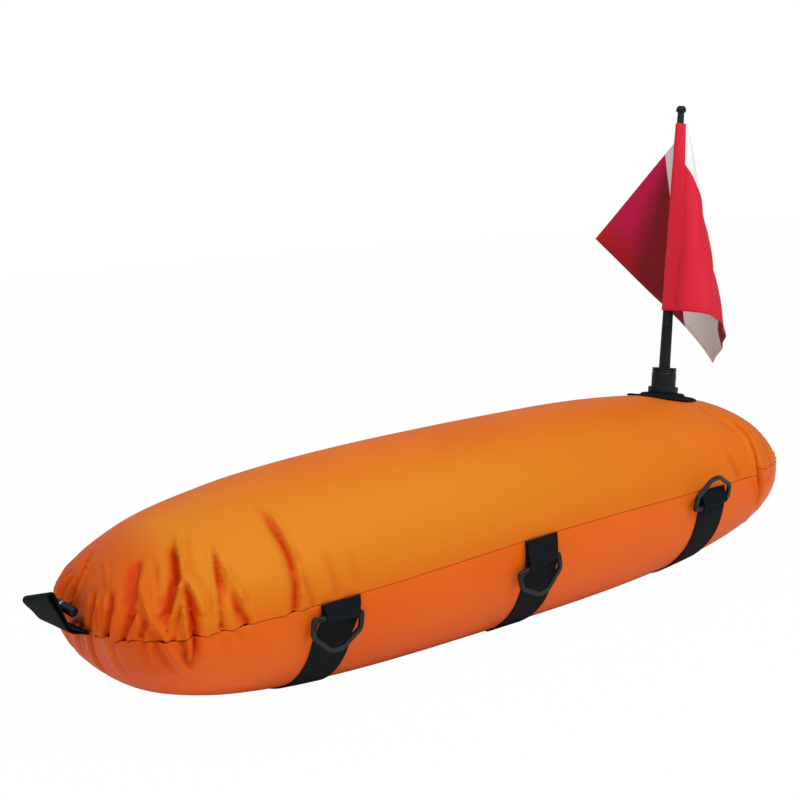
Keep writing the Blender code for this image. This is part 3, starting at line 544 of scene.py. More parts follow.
def spun(profile, sides, place):
    """A solid of revolution about the place's Z, from (radius, height) round its section."""
    bm = bmesh.new()
    chain = [bm.verts.new((radius, 0.0, height)) for radius, height in profile]
    edges = [bm.edges.new(pair) for pair in zip(chain, chain[1:])]
    if profile[0][0] > 0 and profile[-1][0] > 0:
        edges.append(bm.edges.new((chain[-1], chain[0])))
    bmesh.ops.spin(bm, geom=chain + edges, cent=(0, 0, 0), axis=(0, 0, 1), angle=2 * math.pi,
                   steps=sides, use_merge=True)
    tidy(bm)
    bmesh.ops.transform(bm, matrix=place, verts=bm.verts)
    return bm


def rounded(profile, radius):
    """The profile with each corner that is off the axis rounded."""
    made = []
    count = len(profile)
    for i, corner in enumerate(profile):
        here = Vector(corner)
        if corner[0] == 0 or (i in (0, count - 1) and profile[0][0] == 0):
            made.append(tuple(here))
            continue
        before = Vector(profile[i - 1]) - here
        after = Vector(profile[(i + 1) % count]) - here
        reach = min(radius, before.length * CORNER_SHARE, after.length * CORNER_SHARE)
        start = here + before.normalized() * reach
        end = here + after.normalized() * reach
        made += curve(start, here, end, CORNER_STEPS)
    return made


def curve(start, corner, end, steps):
    """Points of the smooth curve from start to end that the corner draws towards itself."""
    shares = [step / steps for step in range(steps + 1)]
    return [start.lerp(corner, share).lerp(corner.lerp(end, share), share) for share in shares]


def swept_tube(path, radius, sides):
    rows = []
    across = Vector((0, 0, 1))
    angles = [2 * math.pi * k / sides for k in range(sides + 1)]
    for i, point in enumerate(path):
        ways = [path[j + 1] - path[j] for j in (i - 1, i) if 0 <= j < len(path) - 1]
        way = sum((way.normalized() for way in ways), Vector((0, 0, 0))).normalized()
        across = (across - way * across.dot(way)).normalized()
        other = way.cross(across)
        rows.append([tuple(point + (across * math.cos(a) + other * math.sin(a)) * radius) for a in angles])
    return bent_grid(np.array(rows), closed=True)


def turned_piece(name, profile, rounding, place, body, replaced, finish=PLASTIC, sides=LATHE_SIDES,
                 sharp=40.0):
    """A piece made on a lathe, with its corners rounded if a rounding is given."""
    if rounding:
        profile = rounded(profile, rounding)
    return finish_piece(name, spun(profile, sides, place), finish, body, replaced, sharp)


def add_mesh(bm, other):
    """Adds the other bmesh's shape to bm."""
    kept = bpy.data.meshes.new("part")
    other.to_mesh(kept)
    other.free()
    bm.from_mesh(kept)
    bpy.data.meshes.remove(kept)


def stitch_row(path, outward, length, spacing, radius, wobble):
    """Short stitches that follow the path and lie on the surface under them."""
    bm = bmesh.new()
    lengths = [0.0]
    for first, second in zip(path, path[1:]):
        lengths.append(lengths[-1] + (second - first).length)
    count = int(lengths[-1] / spacing)
    size = Matrix.Diagonal((length / 2, radius * STITCH_FLATNESS, radius, 1.0))
    j = 0
    for i in range(count):
        middle = (i + 0.5) * lengths[-1] / count
        while j < len(path) - 2 and lengths[j + 1] < middle:
            j += 1
        share = (middle - lengths[j]) / max(1e-9, lengths[j + 1] - lengths[j])
        point = path[j].lerp(path[j + 1], share)
        up = outward[j].lerp(outward[j + 1], share).normalized()
        way = (path[j + 1] - path[j]).normalized()
        side = up.cross(way).normalized()
        way = (way + side * wobble * math.sin(i * STITCH_WANDER)).normalized()
        side = up.cross(way).normalized()
        turn = Matrix((way, side, way.cross(side))).transposed().to_4x4()
        bmesh.ops.create_icosphere(bm, subdivisions=1, radius=1.0,
                                   matrix=Matrix.Translation(point) @ turn @ size)
    return bm


# The cover

STATION_SAMPLES = 30001
COVER_SPACINGS = ((-0.406, 0.0017), (-0.24, 0.0018), (-0.19, 0.0045), (-0.15, 0.0110), (0.24, 0.0110),
                  (0.290, 0.0017), (0.345, 0.0017), (0.406, 0.0030))
ROW_SPACINGS = {UPPER: (0.0017, 0.0034), LOWER: (0.0024, 0.0042)}
# Distances from the seam of the first rows, where the cover rolls in
ROLLED_ROWS = (0.0, 0.0002, 0.0005, 0.0009, 0.0014, 0.0022, 0.0034)
BLADDER_SPACINGS = ((-0.406, 0.008), (0.0, 0.014), (0.406, 0.008))
BLADDER_INSET = 0.0024
BLADDER_END_SLACK = 0.0085
BLADDER_END_GAP = 0.014
END_SPAN = 0.20

# Section of a fold, in shares of its narrowed width, and the share of its line over which it starts
CORE_POWER = 1.5
TAIL_RATE = 2.2
FLANK_SWELL = 0.34
FLANK_PLACE = 1.9
FLANK_SPREAD = 0.75
FOLD_REACH = 4
FOLD_FADE = 0.35
SEAM_NEARNESS = 8

# Gathers where the photograph shows no fold: angles round the ends, positive away from the viewer,
# and the ranges that their sizes are picked from, with widths and depths in mm
LOOP_END_FANS = np.arange(0.28, 1.62, 0.19)
FLAG_END_FANS = np.arange(-0.55, 1.62, 0.24)
LOWER_LOOP_END_FANS = np.arange(-1.0, 0.2, 0.27)
GATHER_DEPTHS = {UPPER: 3.4, LOWER: 1.3}
GATHER_JITTER = 0.035
GATHER_HEIGHTS = (0.30, 0.62)
GATHER_DRIFT = 0.10
GATHER_WIDTHS = (3.6, 6.0)
GATHER_DEPTH_SHARES = (0.5, 1.2)
GATHER_LEAN = 0.4
GATHER_TOP = 0.92
SWELL_SHIFT = 7
SWELL_WIDTH_SHARE = 1.3
SWELL_DEPTH_SHARES = (0.2, 0.5)

# The seam's ripples, its jump behind the far ring, and the sewn edge beside it
SEAM_RIPPLE = 0.0034
SEAM_DRIFT = 0.0030
STRAIGHT_RIPPLE = 0.0004
SEAM_JUMP = 0.0045
SEAM_JUMP_PLACE = 0.323
SEAM_JUMP_SPAN = 0.0016
SEAM_PULL = 0.013
STITCH_SPACING = 0.0062
PUCKER_DEPTH = 0.00030
END_PUCKER_DEPTH = 0.0004
PUCKER_REACH = 0.003
ROLL = 0.0009

# Slackness of the cloth, the depth at which a crease has its full painted shade, and the painted shade of the
# loop end
END_SLACK = 0.0011
STRAIGHT_SLACK = 0.0003
BELLY_FADE = 0.06
CREASE_SHADE_DEPTH = 0.0045
TIP_SHADE = 0.6
TIP_SHADE_START = 0.35
TIP_SHADE_SPAN = 0.5


def taper(value):
    return value * value * (3 - 2 * value)


def stations(spacings):
    """Places along the body, spaced as asked over its curved ends."""
    dense = -np.cos(np.linspace(0.0, math.pi, STATION_SAMPLES))
    x = dense * HALF_LENGTH
    y = HALF_WIDTH * plan_share(dense)
    z = HALF_HEIGHT * side_share(dense)
    step = np.maximum(np.hypot(np.diff(x), np.diff(y)), np.hypot(np.diff(x), np.diff(z)))
    wanted = np.interp((x[1:] + x[:-1]) / 2, *zip(*spacings))
    counted = np.concatenate([[0.0], np.cumsum(step / wanted)])
    count = int(round(counted[-1]))
    places = np.interp(np.linspace(0.0, counted[-1], count + 1), counted, dense)
    places[0], places[-1] = -1.0, 1.0
    return places


def columns(near_spacing, far_spacing):
    """Turns round one side: close together beside the seams, where the cover rolls in."""
    span = math.pi * HALF_HEIGHT
    made = list(ROLLED_ROWS)
    while made[-1] < span / 2:
        made.append(made[-1] + near_spacing)
    back = [span - value for value in ROLLED_ROWS]
    inner = []
    spot = back[-1] - far_spacing
    while spot > made[-1] + far_spacing / 2:
        inner.append(spot)
        spot -= far_spacing
    return np.array(made + inner[::-1] + back[::-1]) / HALF_HEIGHT


def outward_ways(points):
    """Way out of the body at each point, from its long middle line."""
    away = points - np.array([0.0, 0.0, SEAM_HEIGHT])
    away[..., 0] = np.sign(away[..., 0]) * np.maximum(np.abs(away[..., 0]) - CORE_HALF_LENGTH, 0.0)
    return away / np.maximum(np.linalg.norm(away, axis=-1, keepdims=True), 1e-9)


def line_distances(points, line):
    """Distance of each point from the line, the side it is on and its share of the way."""
    lengths = np.linalg.norm(np.diff(line, axis=0), axis=1)
    nearest = np.full(points.shape[:-1], 1e9)
    side = np.zeros(points.shape[:-1])
    share = np.zeros(points.shape[:-1])
    outward = outward_ways(points)
    before = 0.0
    for start, end, length in zip(line, line[1:], lengths):
        way = (end - start) / length
        along = np.clip((points - start) @ way, 0.0, length)
        gap = points - (start + along[..., None] * way)
        distance = np.linalg.norm(gap, axis=-1)
        closer = distance < nearest
        turned = np.einsum("...i,...i->...", np.cross(np.broadcast_to(way, gap.shape), gap), outward)
        nearest = np.where(closer, distance, nearest)
        side = np.where(closer, np.sign(turned), side)
        share = np.where(closer, (before + along) / lengths.sum(), share)
        before += length
    return nearest, side, share


def grown(share):
    return taper(np.clip(share / FOLD_FADE, 0.0, 1.0))


def fold_depths(points, folds):
    """How far the folds press the skin inwards at each point."""
    depth = np.zeros(points.shape[:-1])
    for line, width, fold_depth, lean in folds:
        spots = np.array(line) * MM + np.array([0.0, 0.0, SEAM_HEIGHT])
        reach = FOLD_REACH * width * MM
        near = np.all((points > spots.min(0) - reach) & (points < spots.max(0) + reach), axis=-1)
        if not near.any():
            continue
        distance, side, share = line_distances(points[near], spots)
        across = np.abs(distance / (FOLD_NARROWING * width * MM) * (1 + lean * side))
        crisp = 0.5 * np.exp(-across ** CORE_POWER) + 0.5 * np.exp(-across * TAIL_RATE)
        shape = crisp - FLANK_SWELL * np.exp(-((across - FLANK_PLACE) / FLANK_SPREAD) ** 2)
        if abs(line[0][2]) > SEAM_NEARNESS:
            shape *= grown(share)
        if line[-1][2] < -SEAM_NEARNESS:
            shape *= grown(1 - share)
        depth[near] += FOLD_GAIN * fold_depth * MM * shape
    return depth


def plan_edge(fan, end):
    """Distance in plan from the middle of an end's curve to the seam, at the angle fan."""
    low, high = 0.0, HALF_LENGTH
    for _ in range(40):
        reach = (low + high) / 2
        x = CORE_HALF_LENGTH + reach * math.cos(fan)
        y = abs(reach * math.sin(fan))
        inside = x < HALF_LENGTH and y < HALF_WIDTH * float(plan_share(np.array(end * x / HALF_LENGTH)))
        low, high = (reach, high) if inside else (low, reach)
    return low


def gathers(end, side, fans, seed, depth):
    """Folds that run up or down from an end's seam, each with a swell beside it."""
    picked = np.random.default_rng(seed)
    made = []
    for fan in fans:
        fan += picked.uniform(-GATHER_JITTER, GATHER_JITTER)
        edge = plan_edge(fan, end)
        height = picked.uniform(*GATHER_HEIGHTS)
        drift = picked.uniform(-GATHER_DRIFT, GATHER_DRIFT)
        line = []
        for step in (1.0, 0.75, 0.5, 0.25, 0.0):
            z = height * step
            reach = edge * math.sqrt(max(0.0, 1 - z * z))
            angle = fan + drift * step
            x = end * (CORE_HALF_LENGTH + reach * math.cos(angle))
            line.append((x / MM, reach * math.sin(angle) / MM, side * z * HALF_HEIGHT / MM * GATHER_TOP))
        width = picked.uniform(*GATHER_WIDTHS)
        made.append((line, width, depth * picked.uniform(*GATHER_DEPTH_SHARES),
                     picked.uniform(-GATHER_LEAN, GATHER_LEAN)))
        swell = [(x, y + SWELL_SHIFT * math.cos(fan), z) for x, y, z in line]
        made.append((swell, width * SWELL_WIDTH_SHARE, -depth * picked.uniform(*SWELL_DEPTH_SHARES), 0.0))
    return made


def all_folds(side):
    """The folds that the photograph shows, and gathers round the rest of both ends."""
    depth = GATHER_DEPTHS[side]
    made = list((UPPER_FOLDS if side == UPPER else LOWER_FOLDS) + FLAG_END_FOLDS)
    if side == LOWER:
        made.append(CROSSING_FOLD)
    made += gathers(-1, side, LOOP_END_FANS, 5 + side, depth)
    made += gathers(1, side, FLAG_END_FANS, 9 + side, depth * 0.8)
    if side == LOWER:
        made += gathers(-1, side, LOWER_LOOP_END_FANS, 12, depth * 0.7)
    return made


def slow_noise(points, scale, seed):
    shift = Vector((seed * 3.1, seed * 7.7, seed * 1.3))
    values = np.array([noise.noise(Vector(point) * scale + shift) for point in points.reshape(-1, 3)])
    return values.reshape(points.shape[:-1])


def end_nearness(points):
    """0 on the body's straight length and 1 at its ends."""
    return np.clip((np.abs(points[..., 0]) - (HALF_LENGTH - END_SPAN)) / END_SPAN, 0.0, 1.0)


def seam_wander(points):
    """How far the seam strays up or down from its smooth line."""
    ends = end_nearness(points) ** 2
    level = points * np.array([1.0, 1.0, 0.0])
    ripple = slow_noise(level, 62.0, 3)
    broad = slow_noise(level, 21.0, 6)
    jump = 1 / (1 + np.exp(-(points[..., 0] - SEAM_JUMP_PLACE) / SEAM_JUMP_SPAN)) * (points[..., 1] < 0)
    return (SEAM_RIPPLE * ripple + SEAM_DRIFT * broad) * ends + STRAIGHT_RIPPLE * ripple + SEAM_JUMP * jump


def cover_points(places, turns, side):
    """Points of the cover's outer skin, and the share of painted shade at each one, from its crease and from
    the loop end.
    """
    place, turn = np.meshgrid(places, turns, indexing="ij")
    smooth = skin_points(place, turn, side)
    at_seam = skin_points(place, np.where(turn < math.pi / 2, 0.0, math.pi), side)
    from_seam = np.abs(smooth[..., 2] - at_seam[..., 2])
    outward = outward_ways(smooth)
    ends = end_nearness(smooth)
    depth = fold_depths(smooth, all_folds(side))
    # Painted shade for the nylon's crease attribute: full in deep creases, and on the loop end that faces
    # away from the light
    shaded = taper(np.clip((-outward[..., 0] - TIP_SHADE_START) / TIP_SHADE_SPAN, 0.0, 1.0))
    crease = np.clip(depth / CREASE_SHADE_DEPTH, 0.0, 1.0) + TIP_SHADE * shaded
    depth += END_SLACK * slow_noise(smooth, 24.0, 1) * ends + STRAIGHT_SLACK * slow_noise(smooth, 14.0, 2)
    if side == LOWER:
        depth *= 1 - np.clip((SEAM_HEIGHT - smooth[..., 2]) / BELLY_FADE, 0.0, 1.0) * (1 - ends)
    along = smooth[..., 0] + np.sign(smooth[..., 0]) * np.abs(at_seam[..., 1] + HALF_WIDTH)
    pucker = 0.5 - 0.5 * np.cos(2 * math.pi * along / STITCH_SPACING)
    depth += (PUCKER_DEPTH + END_PUCKER_DEPTH * ends) * pucker * np.exp(-from_seam / PUCKER_REACH)
    roll = ROLL * (1 + ends)
    inside = np.clip(1 - from_seam / roll, 0.0, 1.0)
    depth += roll * (1 - np.sqrt(1 - inside ** 2)) * (np.minimum(turn, math.pi - turn) < math.pi / 4)
    points = smooth - outward * depth[..., None]
    points[..., 2] += seam_wander(at_seam) * np.exp(-(from_seam / SEAM_PULL) ** 2)
    return points, np.clip(crease, 0.0, 1.0)


def flat_lengths(points):
    """UVs in metres along and round the surface."""
    along = np.concatenate([[0.0], np.cumsum(np.linalg.norm(np.diff(points.mean(1), axis=0), axis=1))])
    middle = points[len(points) // 2]
    around = np.concatenate([[0.0], np.cumsum(np.linalg.norm(np.diff(middle, axis=0), axis=1))])
    return np.stack(np.meshgrid(along, around, indexing="ij"), axis=-1)


def make_cover(name, side, nylon, replaced):
    points, crease = cover_points(stations(COVER_SPACINGS), columns(*ROW_SPACINGS[side]), side)
    # The crease mark is the painted shade that the nylon reads.
    bm = bent_grid(points, flat_lengths(points), marks={"crease": crease})
    tidy(bm)
    piece = finish_piece(name, bm, nylon, "float", replaced, sharp=70.0)
    modifier(piece, "SOLIDIFY", thickness=COVER_THICKNESS, offset=-1.0)
    return points


def make_bladder():
    """The airtight bag, slack enough inside to stay clear of the cover's folds."""
    turns = np.linspace(0.0, math.pi, 37)
    rows = []
    for place in stations(BLADDER_SPACINGS):
        slack = BLADDER_END_SLACK * float(end_nearness(np.array([place * HALF_LENGTH])))
        places = np.full(len(turns), place)
        upper = skin_points(places, turns, UPPER, -BLADDER_INSET - slack)
        lower = skin_points(places, turns[::-1], LOWER, -BLADDER_INSET - slack)
        rows.append(np.concatenate([upper, lower[1:]]))
    points = np.array(rows)
    points[..., 0] *= (HALF_LENGTH - BLADDER_END_GAP) / HALF_LENGTH
    bm = bent_grid(points, flat_lengths(points), closed=True)
    tidy(bm)
    piece = finish_piece("bladder_bag", bm, FILM, "float", "inner_bladder")


def make_seam_stitches(upper, lower):
    """Thread that shows in the groove where the two panels are sewn together."""
    bm = bmesh.new()
    length = 0.0040
    radius = 0.0003
    for k in (0, -1):
        line = (upper[:, k] + lower[:, k]) / 2
        outward = outward_ways(line)
        path = [Vector(p) for p in line - outward * radius]
        add_mesh(bm, stitch_row(path, [Vector(way) for way in outward], length, STITCH_SPACING, radius, 0.04))
    finish_piece("seam_stitches", bm, SEAM_THREAD, "float", sharp=80.0)


# Bands, tabs and rings

WEBBING_ROUNDING = 0.00038
ROUNDED_ANGLE = math.radians(60)
BOW_START = 0.08
BOW_SPAN = 0.32
BAND_RIPPLE = 0.0004
TAB_BEND_STEPS = 22
TAB_STITCH_PLACES = (0.30, 0.85)
# Each kind of stitch: length, spacing, radius and wobble
TAB_STITCH = (0.0024, 0.0031, 0.00032, 0.12)
RING_TRIM = 0.00008
RING_SHOULDER = RING_STRAIGHT + 0.0006
RING_CORNER = 0.0042
RING_THICKNESS = 0.00425
RING_CHAMFER = 0.00115


def flat_piece(name, points, finish, body, replaced, thickness, rounding=0.0, closed=False):
    """Webbing or cloth over a grid of points, with soft edges if a rounding is given."""
    bm = bent_grid(points, flat_lengths(points), closed=closed)
    bmesh.ops.recalc_face_normals(bm, faces=bm.faces)
    piece = finish_piece(name, bm, finish, body, replaced, sharp=50.0)
    modifier(piece, "SOLIDIFY", thickness=thickness, offset=0.0, use_even_offset=True)
    if rounding:
        modifier(piece, "BEVEL", width=rounding, segments=2, limit_method="ANGLE", angle_limit=ROUNDED_ANGLE)
    return piece


def strap(name, points, replaced):
    flat_piece(name, points, WEBBING, "float", replaced, WEBBING_THICKNESS, WEBBING_ROUNDING)


def make_band(name, middle, bow, replaced):
    """A belly band; bow is how far its middle is sewn aside from its ends."""
    start = SEAM_SETBACK / HALF_HEIGHT
    rows = []
    for turn in np.linspace(start, math.pi - start, 121):
        sloped = bow * taper(min(1.0, max(0.0, min(turn, math.pi - turn) - BOW_START) / BOW_SPAN))
        line = middle + sloped + BAND_RIPPLE * math.sin(turn * 9 + middle * 40)
        rows.append([tuple(skin(line + share * WEBBING_WIDTH, turn, LOWER, FIT_GAP + WEBBING_THICKNESS / 2))
                     for share in np.linspace(-0.5, 0.5, 17)])
    strap(name, np.array(rows), replaced)


def steady_edge(middle):
    return middle - math.copysign(WEBBING_WIDTH / 2, middle)


def lower_turn(x, drop):
    place = np.array(x / HALF_LENGTH)
    start = -float(seam_angle(place))
    angle = math.asin(drop / (HALF_HEIGHT * float(side_share(place))) + math.sin(start))
    return (angle - start) * math.pi / (math.pi - 2 * start)


def layer(x, drop, out, towards):
    """The point of a layer of webbing at a drop below the seam, in the plane across the body."""
    point = skin(x, lower_turn(x, drop), LOWER, out)
    return Vector((0.0, abs(point.y) * towards, point.z))


def bar_point(band, towards, aside):
    """The middle of a ring's bar, at a distance aside from the middle of its tab."""
    middle, drop, slant = BANDS[band]
    out = 3 * FIT_GAP + 2 * WEBBING_THICKNESS + RING_BAR / 2
    point = layer(steady_edge(middle), drop - aside * math.tan(slant), out, towards)
    return Vector((middle + TAB_SHIFT + aside, point.y, point.z))


def tab_path(band, towards, aside):
    """Middle line of the tab's webbing: down from the seam, round the bar and back up."""
    middle, drop, slant = BANDS[band]
    x = steady_edge(middle)
    drop -= aside * math.tan(slant)
    inner_out = 2 * FIT_GAP + 1.5 * WEBBING_THICKNESS
    outer_out = 3 * FIT_GAP + 2.5 * WEBBING_THICKNESS
    leg = drop - SEAM_SETBACK
    path = [layer(x, SEAM_SETBACK + leg * share, inner_out, towards) for share in np.linspace(0, 0.6, 7)]
    bar = bar_point(band, towards, aside)
    bar.x = 0.0
    outward = (bar - layer(x, drop, 0.0, towards)).normalized()
    downward = Vector((0.0, -outward.z, outward.y))
    if downward.z > 0:
        downward.negate()
    bend = RING_BAR / 2 + FIT_GAP + WEBBING_THICKNESS / 2
    end = layer(x, SEAM_SETBACK, outer_out, towards)
    back = end - bar
    wrap = math.atan2(back.dot(downward), -back.dot(outward)) % (2 * math.pi)
    wrap -= math.acos(bend / back.length)
    for i in range(TAB_BEND_STEPS + 1):
        angle = wrap * i / TAB_BEND_STEPS
        path.append(bar + outward * (-bend * math.cos(angle)) + downward * (bend * math.sin(angle)))
    last = path[-1]
    path += [last.lerp(end, share) for share in (0.25, 0.5, 0.75, 1.0)]
    along = Vector((middle + TAB_SHIFT + aside, 0.0, 0.0))
    return [tuple(point + along) for point in path]


def make_tab(name, band, towards, replaced):
    across = np.linspace(-TAB_WIDTH / 2, TAB_WIDTH / 2, 13)
    points = np.array([tab_path(band, towards, aside) for aside in across]).transpose(1, 0, 2)
    strap(name, points, replaced)
    return points


def make_tab_stitches(name, points, towards):
    """Two rows of black thread across the tab, just below the seam."""
    bm = bmesh.new()
    way = np.array([0.0, towards, 0.0])
    for share in TAB_STITCH_PLACES:
        line = points[-1] + (points[-3] - points[-1]) * share
        path = [Vector(p + way * (WEBBING_THICKNESS / 2 + 0.0001)) for p in line[1:-1]]
        add_mesh(bm, stitch_row(path, [Vector(way)] * len(path), *TAB_STITCH))
    finish_piece(name, bm, BLACK_THREAD, "float", sharp=80.0)


def ring_basis(band, towards, angle):
    start, end = [bar_point(band, towards, aside) for aside in (-TAB_WIDTH / 2, TAB_WIDTH / 2)]
    way = (end - start).normalized()
    up = (Vector((0, 0, 1)) - way * way.z).normalized()
    basis = Matrix((way, up.cross(way), up)).transposed().to_4x4()
    return (Matrix.Translation((start + end) / 2 + way * RING_SLIDE) @ basis
            @ Matrix.Rotation(towards * angle, 4, "X"))


def make_ring(name, band, towards, angle, body, replaced):
    """A moulded ring: a flat six-sided frame with rounded corners and broad chamfers."""
    half = RING_WIDTH / 2 - RING_TRIM
    tip = RING_TIP_WIDTH / 2
    low = -(RING_HEIGHT - RING_BAR / 2) + RING_TRIM
    high = RING_BAR / 2 - RING_TRIM
    corners = [(-half, high), (half, high), (half, -RING_SHOULDER), (tip, low), (-tip, low),
               (-half, -RING_SHOULDER)]
    bm = bmesh.new()
    bm.faces.new([bm.verts.new((x, 0.0, z)) for x, z in corners])
    bmesh.ops.bevel(bm, geom=list(bm.verts), offset=RING_CORNER, offset_type="OFFSET", segments=6,
                    profile=0.5, affect="VERTICES", material=-1)
    outline = next(iter(bm.faces))
    bmesh.ops.inset_region(bm, faces=[outline], thickness=RING_BAR - 2 * RING_TRIM, use_even_offset=True,
                           use_boundary=True)
    bmesh.ops.delete(bm, geom=[outline], context="FACES_ONLY")
    extruded = bmesh.ops.extrude_face_region(bm, geom=list(bm.faces))["geom"]
    moved = [item for item in extruded if isinstance(item, bmesh.types.BMVert)]
    bmesh.ops.translate(bm, verts=moved, vec=(0.0, RING_THICKNESS, 0.0))
    bmesh.ops.translate(bm, verts=bm.verts, vec=(0.0, -RING_THICKNESS / 2, 0.0))
    bmesh.ops.recalc_face_normals(bm, faces=bm.faces)
    sharp = [edge for edge in bm.edges if edge.calc_face_angle(0.0) > ROUNDED_ANGLE]
    bmesh.ops.bevel(bm, geom=sharp, offset=RING_CHAMFER, offset_type="OFFSET", segments=3, profile=0.5,
                    affect="EDGES", material=-1)
    bmesh.ops.transform(bm, matrix=ring_basis(band, towards, angle), verts=bm.verts)
    finish_piece(name, bm, RING_PLASTIC, body, replaced, sharp=35.0)


def make_bands():
    for band, (middle, _, _) in BANDS.items():
        make_band(f"band_{band}", middle, BAND_BOWS[band], f"belly_band_{band}")
        for end, towards in (("front", NEAR_SIDE), ("back", FAR_SIDE)):
            points = make_tab(f"tab_{band}_{end}", band, towards, f"ring_tab_{band}_{end}")
            make_tab_stitches(f"tab_stitches_{band}_{end}", points, towards)
            raised = band == "far" and towards == NEAR_SIDE
            angle = RING_RAISED_ANGLE if raised else RING_HANGING_ANGLE
            make_ring(f"ring_{band}_{end}_frame", band, towards, angle, f"ring_{band}_{end}",
                      f"d_ring_{band}_{end}")


# Towing loop and valve

KNEE_STEPS = 8
HEAD_STEPS = 16
LEG_OPENING = 0.35
LEG_OPENING_SPAN = 0.25
HEAD_OPENING_START = 0.55
VALVE_SEAT = 0.000875
HOSE_BEND_STEPS = 16
HOSE_SIDES = 40
CAP_RIBS = 5
CAP_RIB_START = 0.18
CAP_RIB_PITCH = 0.14
CAP_GROOVE_DEPTH = 0.00025
CAP_GROOVE_STEP = 0.0005


def loop_path(knee, head, aside):
    """Middle line of the loop's webbing: out from the seam to its knee, up to its head and back."""
    spread = WEBBING_THICKNESS / 2 + FIT_GAP / 2
    foot = Vector((-HALF_LENGTH - 2 * FIT_GAP, aside, SEAM_HEIGHT - LOOP_DROP))
    bend = foot + Vector((-knee[0], 0.0, knee[1]))
    top = foot + Vector((-head[0], 0.0, head[1]))
    before = bend + (foot - bend).normalized() * KNEE_ROUNDING
    after = bend + (top - bend).normalized() * KNEE_ROUNDING
    middle = [foot.lerp(before, share) for share in (0.0, 0.25, 0.5, 0.75)]
    middle += curve(before, bend, after, KNEE_STEPS)
    middle += [after.lerp(top, share) for share in np.linspace(0.1, 1.0, 12)]
    inner = []
    outer = []
    for i, point in enumerate(middle):
        way = (middle[min(i + 1, len(middle) - 1)] - middle[max(i - 1, 0)]).normalized()
        across = Vector((-way.z, 0.0, way.x))
        share = i / (len(middle) - 1)
        opened = LEG_OPENING * taper(min(1.0, share / LEG_OPENING_SPAN))
        opened += (1 - LEG_OPENING) * taper(max(0.0, (share - HEAD_OPENING_START) / (1 - HEAD_OPENING_START)))
        reach = spread + (HEAD_RADIUS - spread) * opened
        inner.append(point - across * reach)
        outer.append(point + across * reach)
    along = (top - bend).normalized()
    across = Vector((-along.z, 0.0, along.x))
    turned = []
    for i in range(1, HEAD_STEPS):
        angle = -math.pi / 2 + math.pi * i / HEAD_STEPS
        turned.append(top + (along * math.cos(angle) + across * math.sin(angle)) * HEAD_RADIUS)
    return [tuple(point) for point in inner + turned + outer[::-1]]


def make_towing_loop():
    """Webbing doubled back on itself; its far edge droops below its near edge."""
    rows = []
    for share in np.linspace(0.0, 1.0, 17):
        knee = np.array(NEAR_KNEE) * (1 - share) + np.array(FAR_KNEE) * share
        head = np.array(NEAR_HEAD) * (1 - share) + np.array(FAR_HEAD) * share
        rows.append(loop_path(knee.tolist(), head.tolist(), WEBBING_WIDTH * (share - 0.5)))
    strap("loop_webbing", np.array(rows).transpose(1, 0, 2), "towing_loop")


def make_valve():
    power, root = LOOP_END_SIDE_SHARES
    wall = -((1 - (VALVE_HEIGHT / HALF_HEIGHT) ** root) ** (1 / power)) * HALF_LENGTH
    axis = Vector((-math.cos(VALVE_TILT), 0.0, math.sin(VALVE_TILT)))
    foot = Vector((wall, VALVE_SIDE, SEAM_HEIGHT + VALVE_HEIGHT)) + axis * (FIT_GAP + VALVE_SEAT)
    bore = VALVE_BORE_RADIUS
    base = [(bore, -VALVE_STEM_LENGTH), (VALVE_STEM_RADIUS, -VALVE_STEM_LENGTH), (VALVE_STEM_RADIUS, 0),
            (VALVE_FLANGE_RADIUS, 0), (VALVE_FLANGE_RADIUS, VALVE_FLANGE_THICKNESS * 0.6),
            (VALVE_FLANGE_RADIUS * 0.8, VALVE_FLANGE_THICKNESS), (bore, VALVE_FLANGE_THICKNESS)]
    turned_piece("valve_flange", base, 0.0004, frame_along(foot, axis), "float", "valve_base")
    level = math.cos(VALVE_DROP)
    heading = Vector((math.cos(VALVE_TURN) * level, -math.sin(VALVE_TURN) * level, -math.sin(VALVE_DROP)))
    start = foot + axis * (VALVE_FLANGE_THICKNESS + FIT_GAP)
    corner = start + axis * VALVE_TUBE_RISE
    mouth = corner + heading * VALVE_TUBE_LENGTH
    bend_start = corner - axis * VALVE_TUBE_BEND
    bend_end = corner + heading * VALVE_TUBE_BEND
    path = [start.lerp(bend_start, share) for share in (0.0, 0.35, 0.7)]
    path += curve(bend_start, corner, bend_end, HOSE_BEND_STEPS)
    path += [bend_end.lerp(mouth, share) for share in (0.25, 0.5, 0.75, 1.0)]
    bm = swept_tube(path, VALVE_TUBE_RADIUS, HOSE_SIDES)
    add_mesh(bm, swept_tube(path, bore, HOSE_SIDES))
    for end in (start, mouth):
        rims = [edge for edge in bm.edges
                if edge.is_boundary and (edge.verts[0].co - end).length < VALVE_TUBE_RADIUS * 2]
        bmesh.ops.bridge_loops(bm, edges=rims)
    bmesh.ops.recalc_face_normals(bm, faces=bm.faces)
    finish_piece("valve_hose", bm, PLASTIC, "float", "valve_tube")
    make_valve_cap(frame_along(mouth, heading))


